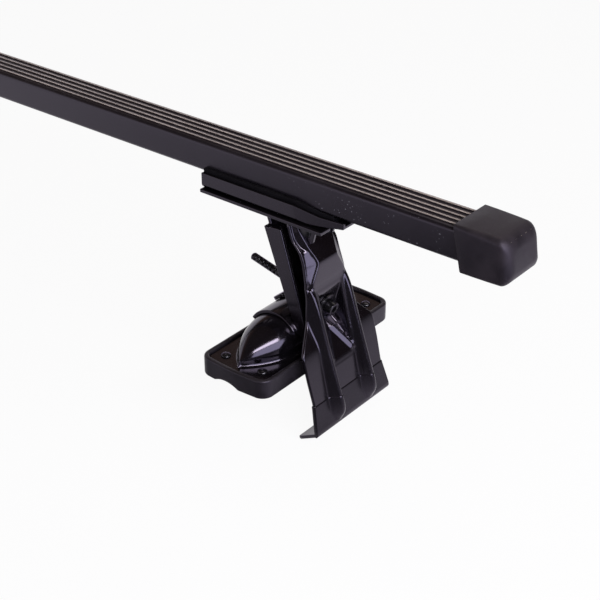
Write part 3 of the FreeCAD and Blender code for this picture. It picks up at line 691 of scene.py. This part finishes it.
BOSS_HALF = Curve([(40.0, 19.5), (91.0, 19.3), (96.0, 18.6), (99.5, 17.8), (104.0, 17.2),
                   (107.5, 15.8), (112.5, 12.9), (117.0, 10.6), (121.0, 10.8), (126.0, 12.3),
                   (131.0, 13.6), (141.0, 15.0)])
EAR_HEIGHT = Curve([(60.0, -5.4), (78.0, -5.2), (88.0, -3.8), (100.0, -3.0), (118.0, -2.4),
                    (127.0, -3.0), (131.0, -4.8), (136.0, -7.4), (141.0, -8.2), (150.0, -8.6)])
RIB_HEIGHT = Curve([(1.0, 0.0), (5.0, 3.4), (9.0, 6.6), (14.0, 8.1), (24.0, 7.9), (47.0, 6.2),
                    (67.0, 4.8), (88.0, 3.4), (95.0, 2.2), (101.0, 0.2)])
PLATE_RIM = 0.45
PLATE_TOP_V = 150.0
NECK_HALF = 19.5
NOTCH_HALF = 9.1
PLATE_SIDE = rounded_path([(41.5, -30.0), (41.5, 3.4), (38.4, 22.5), (39.3, 41.0), (39.3, 59.5),
                           (24.6, 77.0), (22.2, 94.0), (NECK_HALF, 118.0),
                           (NECK_HALF, PLATE_TOP_V), (12.0, PLATE_TOP_V)],
                          [0, 12, 30, 30, 6, 12, 30, 40, 4, 0], 10)
PLATE_NOTCH = rounded_path([(NOTCH_HALF, EYE_V), (12.1, PLATE_TOP_V), (23.0, PLATE_TOP_V)],
                           [0, 3, 0], 8)

SHOULDER_V = 59.5
SHOULDER_FALL = 0.2919
EAR_RIM = 0.9
BOSS_LOW_V = 45.0
BOSS_FLANK = 0.5
FACET_V = 98.0
FACET_RISE = 0.22
FACE_V = 118.0
FACE_N = 4.4
FACE_FALL = 0.32
HOLLOW_DROP = 2.0
HOLLOW_FALL = 0.5
HOLLOW_GAP = 1.1
HOLLOW_END = 6.0
RIB_Y = 18.0
RIB_HALF = 1.8
RIB_FLANK = 0.43
RIB_TOP_V = 101.0
POCKET_LOW_V = 40.0
POCKET_TOP_V = 102.0
POCKET_REACH = 16.0
POCKET_HALF = 12.4
POCKET_WALL = 4.0
SEAT_RISE = 0.525
WEDGE_V = 48.0
WEDGE_FALL = 0.444
WEDGE_HALF = 12.0
WEDGE_LENGTH = 25.5
WEDGE_EDGE = 4.5
WEDGE_EDGE_RISE = 0.5
WEDGE_SUNK = 1.6
WEDGE_STEP = 2.4


def reach_at(path, v):
    """Half width of an outline at a height."""
    for low, high in zip(path, path[1:]):
        if low.y <= v <= high.y and high.y > low.y:
            return low.x + (high.x - low.x) * (v - low.y) / (high.y - low.y)
    return path[-1].x


def body_height(y, v):
    """Shoulders, ears, boss and hollows of the plate, without its ribs and its pocket."""
    shoulder = -SHOULDER_FALL * (v - SHOULDER_V)
    rim = eased_step(y - reach_at(PLATE_SIDE, v), -3.6, -0.9) * eased_step(v, 84.0, 96.0)
    ear = EAR_HEIGHT.at(v) + EAR_RIM * rim
    ground = rounded_max(rounded_min(0.0, shoulder, 1.6), ear, 2.0)
    if v <= BOSS_LOW_V:
        return ground
    facet = rounded_max(0.0, FACET_RISE * (v - FACET_V), 0.3)
    crown = rounded_min(facet, FACE_N - FACE_FALL * (v - FACE_V), 0.9)
    half = BOSS_HALF.at(v)
    boss = rounded_min(crown, crown + (half - y) / BOSS_FLANK, 0.8)
    hollow = crown - HOLLOW_DROP - HOLLOW_FALL * max(0.0, y - half - HOLLOW_GAP)
    hollow -= HOLLOW_END * (1.0 - eased_step(v, 97.0, 105.0) + eased_step(v, 126.0, 137.0))
    return rounded_max(rounded_max(ground, hollow, 0.7), boss, 0.9)


def pocket_height(y, v):
    """Floor of the bolt pocket: its slanted seat, the wedge below that and the side walls."""
    seat = SEAT_N + (v - SEAT_V) * SEAT_RISE
    half = WEDGE_HALF * (WEDGE_V + WEDGE_LENGTH - v) / WEDGE_LENGTH
    edge = max(0.0, min(y, half) - max(0.0, half - WEDGE_EDGE))
    wedge = -WEDGE_FALL * (v - WEDGE_V) + WEDGE_EDGE_RISE * edge - WEDGE_SUNK
    wedge -= WEDGE_STEP * eased_step(y - half, -1.0, 2.8) * eased_step(v, 45.0, 50.0)
    walls = (y - POCKET_HALF) * POCKET_WALL
    return rounded_max(rounded_max(seat, wedge, 0.5), walls, 0.8)


def plate_height(y, v):
    """Front of the pressed plate over its plane."""
    y = abs(y)
    form = body_height(y, v)
    top = RIB_HEIGHT.at(v)
    if top > 0.01 and v < RIB_TOP_V:
        flank = (RIB_HALF + top * RIB_FLANK - abs(y - RIB_Y)) / RIB_FLANK
        form = rounded_max(form, rounded_min(top, flank, 1.6), 1.0)
    if POCKET_LOW_V < v < POCKET_TOP_V and y < POCKET_REACH:
        form = rounded_min(form, pocket_height(y, v), 0.9)
    return form


LIP_TURN = math.radians(76.3)
LIP_RUN = Vector((-math.sin(LIP_TURN), -math.cos(LIP_TURN)))
LIP_OUT = Vector((math.cos(LIP_TURN), -math.sin(LIP_TURN)))
LIP_ROWS = ((18.55, 1.2), (18.4, 0.6), (17.8, 0.15), (16.0, 0.0), (13.0, 0.0), (10.0, 0.0),
            (7.0, 0.0), (4.5, 0.0))
BEND = 3.0
BEND_START = BEND * math.tan(LIP_TURN / 2)
BEND_STEPS = 8
PLATE_STEPS = 200
PLATE_OUT = Vector((1.0, 0.0))


def plate_rows():
    """Rows up the sheet, from the lip's tip over the bend to the plate's top.

    Each is its place in (n, v), its outward direction, its height up the plate or None below
    that, and how much it is trimmed at the tip.
    """
    rows = [(LIP_RUN * run, LIP_OUT, None, trim) for run, trim in LIP_ROWS]
    centre = Vector((-BEND, BEND_START))
    for step in range(BEND_STEPS + 1):
        angle = -LIP_TURN * (1 - step / BEND_STEPS)
        out = Vector((math.cos(angle), math.sin(angle)))
        rows.append((centre + out * BEND, out, None, 0.0))
    run = PLATE_TOP_V - PLATE_RIM - BEND_START
    for step in range(1, PLATE_STEPS + 1):
        v = BEND_START + run * step / PLATE_STEPS
        rows.append((Vector((0.0, v)), PLATE_OUT, v, 0.0))
    return rows


def pressed_sheet(front, back, cells, bulge):
    """Closed sheet from matching front and back points, with a rounded rim."""
    count = len(front)
    points = list(front) + list(back)
    faces = list(cells) + [tuple(count + index for index in reversed(cell)) for cell in cells]
    used = set()
    for cell in cells:
        for pair in zip(cell, cell[1:] + cell[:1]):
            used.add(pair)
    rim = [pair for pair in used if (pair[1], pair[0]) not in used]
    push = {}
    for a, b in rim:
        out = (front[b] - front[a]).cross(front[a] - back[a]).normalized()
        for index in (a, b):
            push[index] = push.get(index, Vector((0, 0, 0))) + out
    levels = (0.12, 0.35, 0.65, 0.88)
    chains = {}
    for index, out in push.items():
        chain = [index]
        for level in levels:
            swell = bulge * math.sin(math.pi * level) ** 0.6
            chain.append(len(points))
            points.append(front[index].lerp(back[index], level) + out.normalized() * swell)
        chain.append(count + index)
        chains[index] = chain
    for a, b in rim:
        for low in range(len(levels) + 1):
            faces.append((chains[b][low], chains[a][low], chains[a][low + 1], chains[b][low + 1]))
    return mesh_of("pressed", points, faces)


NOTCH_SHARE = NOTCH_HALF / (NECK_HALF - PLATE_RIM)
OUTER_STEPS = 34
INNER_STEPS = 44
OUTER_SHARES = [(1 - NOTCH_SHARE) * step / OUTER_STEPS for step in range(OUTER_STEPS + 1)]
INNER_SHARES = [2 * NOTCH_SHARE * step / INNER_STEPS for step in range(INNER_STEPS + 1)]
COLUMNS = ([-1 + share for share in OUTER_SHARES[:-1]]
           + [-NOTCH_SHARE + share for share in INNER_SHARES]
           + [NOTCH_SHARE + share for share in OUTER_SHARES[1:]])


def clamp_plate_mesh():
    front = []
    back = []
    index = {}
    rows = plate_rows()
    for row, (base, out, v, trim) in enumerate(rows):
        height = 0.0 if v is None else v
        half = reach_at(PLATE_SIDE, height) - PLATE_RIM - trim
        notch = reach_at(PLATE_NOTCH, height) + PLATE_RIM * 0.5 if height > EYE_V else None
        for column, share in enumerate(COLUMNS):
            y = share * half
            if notch is not None:
                if abs(share) < NOTCH_SHARE - 1e-6:
                    continue
                along = (abs(share) - NOTCH_SHARE) / (1 - NOTCH_SHARE)
                y = math.copysign(notch + (half - notch) * along, share)
            raised = 0.0 if v is None else plate_height(y, v)
            high = base + out * raised
            low = base + out * (raised - SHEET)
            index[(row, column)] = len(front)
            front.append(Vector((high.x, y, high.y)))
            back.append(Vector((low.x, y, low.y)))
    cells = []
    for row in range(len(rows) - 1):
        for column in range(len(COLUMNS) - 1):
            corners = [(row, column), (row, column + 1), (row + 1, column + 1), (row + 1, column)]
            if all(corner in index for corner in corners):
                cells.append(tuple(index[corner] for corner in corners))
    sheet = pressed_sheet(front, back, cells, PLATE_RIM)
    eye = turned([(3.05, -8.7), (3.4, -9.1), (5.0, -9.1), (5.4, -8.9), (5.5, -8.5), (5.5, 8.5),
                  (5.4, 8.9), (5.0, 9.1), (3.4, 9.1), (3.05, 8.7), (3.05, -8.7)],
                 around=48, capped=False)
    eye.transform(Matrix.Translation((EYE_N, 0, EYE_V)) @ Matrix.Rotation(math.pi / 2, 4, "X"))
    whole = merged(sheet, eye)
    whole.transform(CLAMP_PLACE)
    return whole


SLEEVE_GAP = 0.34
SLEEVE_THIN = 0.04
SLEEVE_EDGE = 0.3
SLEEVE_TOP_V = 22.0
SLEEVE_STEPS = 96


def hook_sleeve_mesh():
    """Dipped sleeve over the plate's lower end: rings round the sheet."""
    def ring(base, out, v, gap):
        height = 0.0 if v is None else v
        half = reach_at(PLATE_SIDE, height) - SLEEVE_EDGE + gap
        across = [half * (2 * step / SLEEVE_STEPS - 1) for step in range(SLEEVE_STEPS + 1)]
        spots = []
        for y in across:
            raised = 0.0 if v is None else plate_height(y, height)
            spots.append((y, raised + gap))
        edge = [(half + SLEEVE_EDGE * math.sin(math.pi * share), -SHEET * share)
                for share in (0.25, 0.5, 0.75)]
        spots += edge
        spots += [(-y, -SHEET - gap) for y in across]
        spots += [(-y, n) for y, n in reversed(edge)]
        loop = []
        for y, n in spots:
            spot = base + out * n
            loop.append(Vector((spot.x, y, spot.y)))
        return loop

    rows = []
    for base, out, v, _ in plate_rows()[len(LIP_ROWS):]:
        if v is None or v <= SLEEVE_TOP_V:
            rows.append((base, out, v, SLEEVE_GAP))
    for rise, gap in ((0.35, SLEEVE_GAP - 0.05), (0.5, SLEEVE_GAP - 0.25), (0.5, SLEEVE_THIN)):
        v = SLEEVE_TOP_V + rise
        rows.append((Vector((0.0, v)), PLATE_OUT, v, gap))
    rows.insert(0, (*rows[0][:3], SLEEVE_THIN))
    rings = [ring(*row) for row in rows]
    points = [point for loop in rings for point in loop]
    mesh = mesh_of("sleeve", points, ring_faces(len(rings), len(rings[0]), False))
    mesh.transform(CLAMP_PLACE)
    return mesh


# Clamp bolt, washer, pin, rivets and screws, as (radius, height) profiles
BOLT_UNDER = 1.8
BOLT_END = -68.2
THREAD_ROOT = 2.45


def clamp_bolt_mesh():
    """Socket-head bolt with a wound thread, along its own Z from the seat outward."""
    socket = hexagon(5.0)
    around = 48
    head = ((2.9, -0.05), (4.6, 0.0), (4.9, 0.12), (5.0, 0.4), (5.0, 5.4), (4.92, 5.7),
            (4.7, 5.92), (4.4, 6.0), (3.2, 6.0), (3.02, 5.95), (socket, 5.75), (socket, 2.9),
            (1.2, 2.3))
    head = turned([(radius, BOLT_UNDER + rise) for radius, rise in head], around)
    core = turned([(1.6, BOLT_END), (2.0, BOLT_END + 0.15), (THREAD_ROOT, BOLT_END + 0.7),
                   (THREAD_ROOT, -10.4), (2.95, -9.9), (2.99, -9.6), (2.99, BOLT_UNDER)], around)
    values = {"Root Radius": THREAD_ROOT, "Ridge": 0.5, "Pitch": 1.0, "Turns": 57.0,
              "Paint": BLACK_STEEL}
    ridge = grown(bpy.data.meshes.new("seed"), THREAD_TREE, **values)
    ridge.transform(Matrix.Translation((0, 0, BOLT_END + 0.6)))
    whole = merged(head, core, ridge)
    whole.transform(BOLT_PLACE)
    return whole


def bolt_washer_mesh():
    mesh = turned([(3.4, 0.3), (3.6, 0.12), (8.2, 0.12), (8.45, 0.25), (8.5, 0.5), (8.5, 1.4),
                   (8.4, 1.6), (8.15, 1.68), (3.6, 1.68), (3.4, 1.5), (3.4, 0.3)],
                  around=64, capped=False)
    mesh.transform(BOLT_PLACE)
    return mesh


def pivot_pin_mesh():
    """Riveted pin: a plain shank and two upset heads."""
    half = [(0.6, 14.15), (2.2, 14.1), (3.4, 13.8), (4.4, 13.2), (4.9, 12.6), (4.95, 12.35),
            (4.6, 12.22), (3.0, 12.2)]
    mesh = turned([(radius, -height) for radius, height in half] + half[::-1], around=40)
    mesh.transform(Matrix.Translation(PIVOT) @ Matrix.Rotation(-math.pi / 2, 4, "X"))
    return mesh


def fastener_rows(template, spots, paint):
    """Copies of one fastener at the spots, as one plain mesh."""
    pattern = bpy.data.objects.new("pattern", template)
    scene.collection.objects.link(pattern)
    points = bpy.data.meshes.new("spots")
    points.from_pydata(spots, [], [])
    mesh = grown(points, FASTENER_TREE, Fastener=pattern, Paint=paint)
    bpy.data.objects.remove(pattern)
    return mesh


def pad_rivets_mesh():
    """Four domed rivets that hold the carrier in the pad."""
    dome = [(2.0, -5.0), (2.0, 0.0), (3.45, 0.02), (3.6, 0.15), (3.55, 0.45), (3.2, 0.95),
            (2.5, 1.45), (1.5, 1.75), (0.9, 1.8), (0.75, 1.62), (0.3, 1.5)]
    spots = [(x, y, -107.9) for x in (-16.5, 16.5) for y in (-58.5, 58.5)]
    return fastener_rows(turned(dome, around=28), spots, BLACK_STEEL)


def saddle_screws_mesh():
    """Two flange-head screws up into the slot plate."""
    six = hexagon(10.0)
    screw = [(1.5, -5.9), (4.2, -5.95), (six, -5.5), (six, -1.6), (6.7, -1.45), (6.95, -1.2),
             (7.0, -0.8), (6.9, -0.1), (6.6, 0.0), (3.0, 0.0), (3.0, 20.6), (2.4, 21.3)]
    spots = [(x, 0.0, -12.2) for x in (-60.0, -32.0)]
    return fastener_rows(turned(screw, around=48), spots, ZINC)


# Pad carrier: a pressed plate with a pointed half-round ridge that the upright's collar rides on
RIDGE_Z = -104.0
RIDGE_RADIUS = 19.6
RIDGE_HALF = 22.68
RIDGE_TIP = 63.0
RIDGE_KEEL = 0.35
RIDGE_STEPS = 14
FILLET = 2.6
FILLET_STEPS = 6
CARRIER_TOP = -108.0
CARRIER_SHEET = 2.0
CARRIER_HALF = 25.4
CARRIER_STRAIGHT = 62.5
CARRIER_ROUND = 5.0
CARRIER_BOW_START = 4.6
CARRIER_BOW = 2.4
CARRIER_RIM = 0.1
FLAT_STEPS = 6


def ridge_radius_at(y):
    """Ridge's radius, falling along an arc to a point at each end."""
    past = abs(y) - RIDGE_HALF
    if past <= 0:
        return RIDGE_RADIUS
    run = RIDGE_TIP - RIDGE_HALF
    sweep = (run * run + RIDGE_RADIUS ** 2) / (2 * RIDGE_RADIUS)
    if past >= run:
        return 0.0
    return RIDGE_RADIUS - sweep * (1 - math.cos(math.asin(past / sweep)))


def carrier_half_at(y):
    """Half width of the carrier's plate, with rounded corners and bowed ends."""
    past = abs(y) - CARRIER_STRAIGHT
    if past <= 0:
        return CARRIER_HALF
    turning = min(past, CARRIER_BOW_START)
    half = CARRIER_HALF - CARRIER_ROUND + math.sqrt(CARRIER_ROUND ** 2 - turning * turning)
    bowed = (past - turning) / CARRIER_BOW
    return half * math.sqrt(max(0.02, 1 - bowed ** 2))


def carrier_section(y):
    """Half section of the carrier at a place along it, from the crown out.

    Each spot is (x, z, inward x, inward z).
    """
    wall = RIDGE_Z - CARRIER_TOP
    past = abs(y) - RIDGE_TIP
    if past > 0:
        wall *= 1 - eased_step(past, 0.0, CARRIER_BOW)
    radius = ridge_radius_at(y)
    out = radius + RIDGE_KEEL
    crown = out if wall > 0.1 else radius
    spots = []
    for step in range(RIDGE_STEPS + 1):
        angle = math.pi / 2 * (1 - step / RIDGE_STEPS)
        along = math.cos(angle)
        rise = math.sin(angle)
        spots.append((out * along, CARRIER_TOP + wall + crown * rise, -along, -rise))
    fillet = min(FILLET, wall * 0.6)
    for step in range(FILLET_STEPS + 1):
        angle = math.pi / 2 * step / FILLET_STEPS
        along = math.cos(angle)
        rise = math.sin(angle)
        spots.append((out + fillet * (1 - along), CARRIER_TOP + fillet * (1 - rise), -along, -rise))
    start = out + fillet
    half = carrier_half_at(y)
    for step in range(1, FLAT_STEPS + 1):
        spots.append((start + (half - start) * step / FLAT_STEPS, CARRIER_TOP, 0.0, -1.0))
    return spots


def pad_carrier_mesh():
    # Rows along the carrier, closer together at its bowed ends
    rows = [-69.0 + 0.35 * step for step in range(18)]
    rows += [-CARRIER_STRAIGHT + 1.25 * step for step in range(101)]
    rows += [62.7 + 0.35 * step for step in range(19)]
    front = []
    back = []
    for y in rows:
        half = carrier_section(y)
        line = [(-x, z, -inward, down) for x, z, inward, down in reversed(half[1:])] + half
        for x, z, inward, down in line:
            front.append(Vector((x, y, z)))
            reach = min(CARRIER_SHEET, abs(x))
            back.append(Vector((x + inward * reach, y, z + down * CARRIER_SHEET)))
    wide = len(front) // len(rows)
    cells = []
    for row in range(len(rows) - 1):
        for column in range(wide - 1):
            first = row * wide + column
            cells.append((first, first + 1, first + wide + 1, first + wide))
    return pressed_sheet(front, back, cells, CARRIER_RIM)


PRESSED_SHARP = 60.0
TURNED_SHARP = 35.0


def make_foot_pieces():
    foot_piece("clamp_plate", "clamp", BLACK_GLOSS, clamp_plate_mesh, PRESSED_SHARP)
    foot_piece("hook_sleeve", "clamp", SLEEVE_COAT, hook_sleeve_mesh, PRESSED_SHARP)
    foot_piece("clamp_bolt", "bolt", BLACK_STEEL, clamp_bolt_mesh, TURNED_SHARP)
    foot_piece("bolt_washer", "clamp", BLACK_STEEL, bolt_washer_mesh, TURNED_SHARP)
    foot_piece("pivot_pin", "foot", BLACK_STEEL, pivot_pin_mesh, TURNED_SHARP)
    foot_piece("pad_rivets", "pad", BLACK_STEEL, pad_rivets_mesh, TURNED_SHARP)
    foot_piece("pad_carrier", "pad", BLACK_GLOSS, pad_carrier_mesh, PRESSED_SHARP)
    foot_piece("saddle_screws", "foot", ZINC, saddle_screws_mesh, TURNED_SHARP)
    for side in SIDES:
        foot = side + "_foot"
        pad = side + "_pad"
        eased_piece(side + "_saddle", foot, BLACK_GLOSS, width=0.5)
        eased_piece(side + "_bar_seat", foot, LINER_PLASTIC_AND_SHADE, width=0.5)
        eased_piece(side + "_slot_plate", foot, ZINC, width=0.4)
        eased_piece(side + "_upright", foot, BLACK_GLOSS, width=0.6)
        eased_piece(side + "_nut_cradle", foot, LINER_PLASTIC_AND_SHADE, width=0.4)
        eased_piece(side + "_barrel_nut", side + "_nut", ZINC, width=0.4)
        eased_piece(side + "_rubber_pad", pad, PAD_RUBBER, width=1.4, segments=4)
        eased_piece(side + "_swivel_rivet", pad, BLACK_STEEL, width=0.4)


# Floor, light and camera
FLOOR_HALF = 20
FLOOR_TONE = 0.8
FLOOR_GLOW = 0.93


def violet_grey(level, spread):
    """A grey with a little less green and a little more blue."""
    return (level, level * (1 - spread), level * (1 + spread))


def make_floor():
    """White paper that glows to the camera, and that mirrors see dark in front of the foot."""
    corners = [(-FLOOR_HALF, -FLOOR_HALF, 0), (FLOOR_HALF, -FLOOR_HALF, 0),
               (FLOOR_HALF, FLOOR_HALF, 0), (-FLOOR_HALF, FLOOR_HALF, 0)]
    mesh = mesh_of("floor", corners, [(0, 1, 2, 3)])
    floor = bpy.data.objects.new("floor", mesh)
    scene.collection.objects.link(floor)
    paper = bpy.data.materials.new("white_paper")
    mesh.materials.append(paper)
    paper.use_nodes = True
    tree = paper.node_tree
    shader = tree.nodes["Principled BSDF"]
    feed(tree, shader.inputs["Base Color"], (FLOOR_TONE, FLOOR_TONE, FLOOR_TONE))
    feed(tree, shader.inputs["Roughness"], 0.9)
    feed(tree, shader.inputs["Specular IOR Level"], 0.1)

    # Mirrored tone in front of the foot, by the place along the bar
    place = add_node(tree, "ShaderNodeTexCoord").outputs["Object"]
    along = map_range(tree, part_of(tree, place, "X"), -0.3, 0.6)
    levels = ((0.0, 1.0), (0.46, 0.6), (0.66, 0.4), (0.8, 0.06))
    front = ramp_of(tree, along, [(spot, violet_grey(level, 0.04)) for spot, level in levels])

    # Mirrored tone behind the foot, by the direction of the look
    look = add_node(tree, "ShaderNodeNewGeometry").outputs["Incoming"]
    levels = ((0.02, 0.08), (0.16, 0.48), (0.40, 1.0))
    fall = ramp_of(tree, part_of(tree, look, "Z"),
                   [(spot, violet_grey(level, 0.05)) for spot, level in levels])
    leftward = map_range(tree, part_of(tree, look, "X"), -0.15, 0.3)
    back = colour_mix(tree, leftward, fall, (1.0, 0.98, 1.0))

    # Glow for the rays that see the floor, and plain paper for the light on it
    behind = map_range(tree, part_of(tree, place, "Y"), -0.11, 0.02)
    path = add_node(tree, "ShaderNodeLightPath").outputs
    tone = colour_mix(tree, path["Is Glossy Ray"], (1.0, 1.0, 1.0),
                      colour_mix(tree, behind, front, back))
    glow = add_node(tree, "ShaderNodeEmission", Strength=1.0, Color=tone)
    seen = math_of(tree, "MAXIMUM", path["Is Camera Ray"], path["Is Glossy Ray"])
    seen = math_of(tree, "MAXIMUM", seen, path["Is Transmission Ray"])
    blend = add_node(tree, "ShaderNodeMixShader", Fac=math_of(tree, "MULTIPLY", seen, FLOOR_GLOW))
    feed(tree, blend.inputs[1], shader.outputs[0])
    feed(tree, blend.inputs[2], glow.outputs[0])
    feed(tree, tree.nodes["Material Output"].inputs["Surface"], blend.outputs[0])


def make_world():
    """Dim room with a pale horizon towards the left."""
    world = bpy.data.worlds.new("studio")
    scene.world = world
    world.use_nodes = True
    tree = world.node_tree
    background = tree.nodes["Background"]
    look = add_node(tree, "ShaderNodeTexCoord").outputs["Generated"]
    bands = ramp_of(tree, part_of(tree, look, "Z"),
                    ((0.32, (1.0, 0.97, 1.04)), (0.46, (0.20, 0.13, 0.10)),
                     (0.72, (0.07, 0.055, 0.05))))
    left = map_range(tree, part_of(tree, look, "X"), 0.38, -0.1)
    around = colour_mix(tree, left, (0.05, 0.035, 0.035), bands)
    feed(tree, background.inputs["Color"], around)
    feed(tree, background.inputs["Strength"], 1.0)


def softbox(name, place, aim, size, power, tint):
    data = bpy.data.lights.new(name, "AREA")
    data.shape = "RECTANGLE"
    data.size = size[0]
    data.size_y = size[1]
    data.energy = power
    data.color = tint
    lamp = bpy.data.objects.new(name, data)
    lamp.location = place
    lamp.rotation_euler = (Vector(aim) - Vector(place)).to_track_quat("-Z", "Y").to_euler()
    scene.collection.objects.link(lamp)


def make_lamps():
    softbox("window", place=(1.62, -0.50, 1.06), aim=(0.43, 0.0, 0.08), size=(1.45, 0.36),
            power=25.0, tint=(0.97, 0.96, 1.0))
    softbox("low_window", place=(1.76, -0.37, 0.43), aim=(0.43, 0.0, 0.1), size=(1.5, 0.72),
            power=13.0, tint=(0.78, 0.80, 1.0))
    softbox("over", place=(0.2, 0.9, 2.1), aim=(0.4, 0.0, 0.1), size=(1.6, 0.8),
            power=7.0, tint=(1.0, 0.93, 0.86))


CAMERA_PLACE = (0.9467, -0.6438, 0.564)
CAMERA_DOWN_DEGREES = 30.2
CAMERA_HEADING_DEGREES = 39


def make_camera():
    data = bpy.data.cameras.new("camera")
    data.lens = 81.84
    data.sensor_width = 36.0
    data.clip_end = 50.0
    camera = bpy.data.objects.new("camera", data)
    camera.location = CAMERA_PLACE
    camera.rotation_euler = (math.radians(90 - CAMERA_DOWN_DEGREES), 0,
                             math.radians(CAMERA_HEADING_DEGREES))
    scene.collection.objects.link(camera)
    scene.camera = camera


make_crossbar()
make_end_caps()
make_foot_pieces()
make_floor()
make_world()
make_lamps()
make_camera()
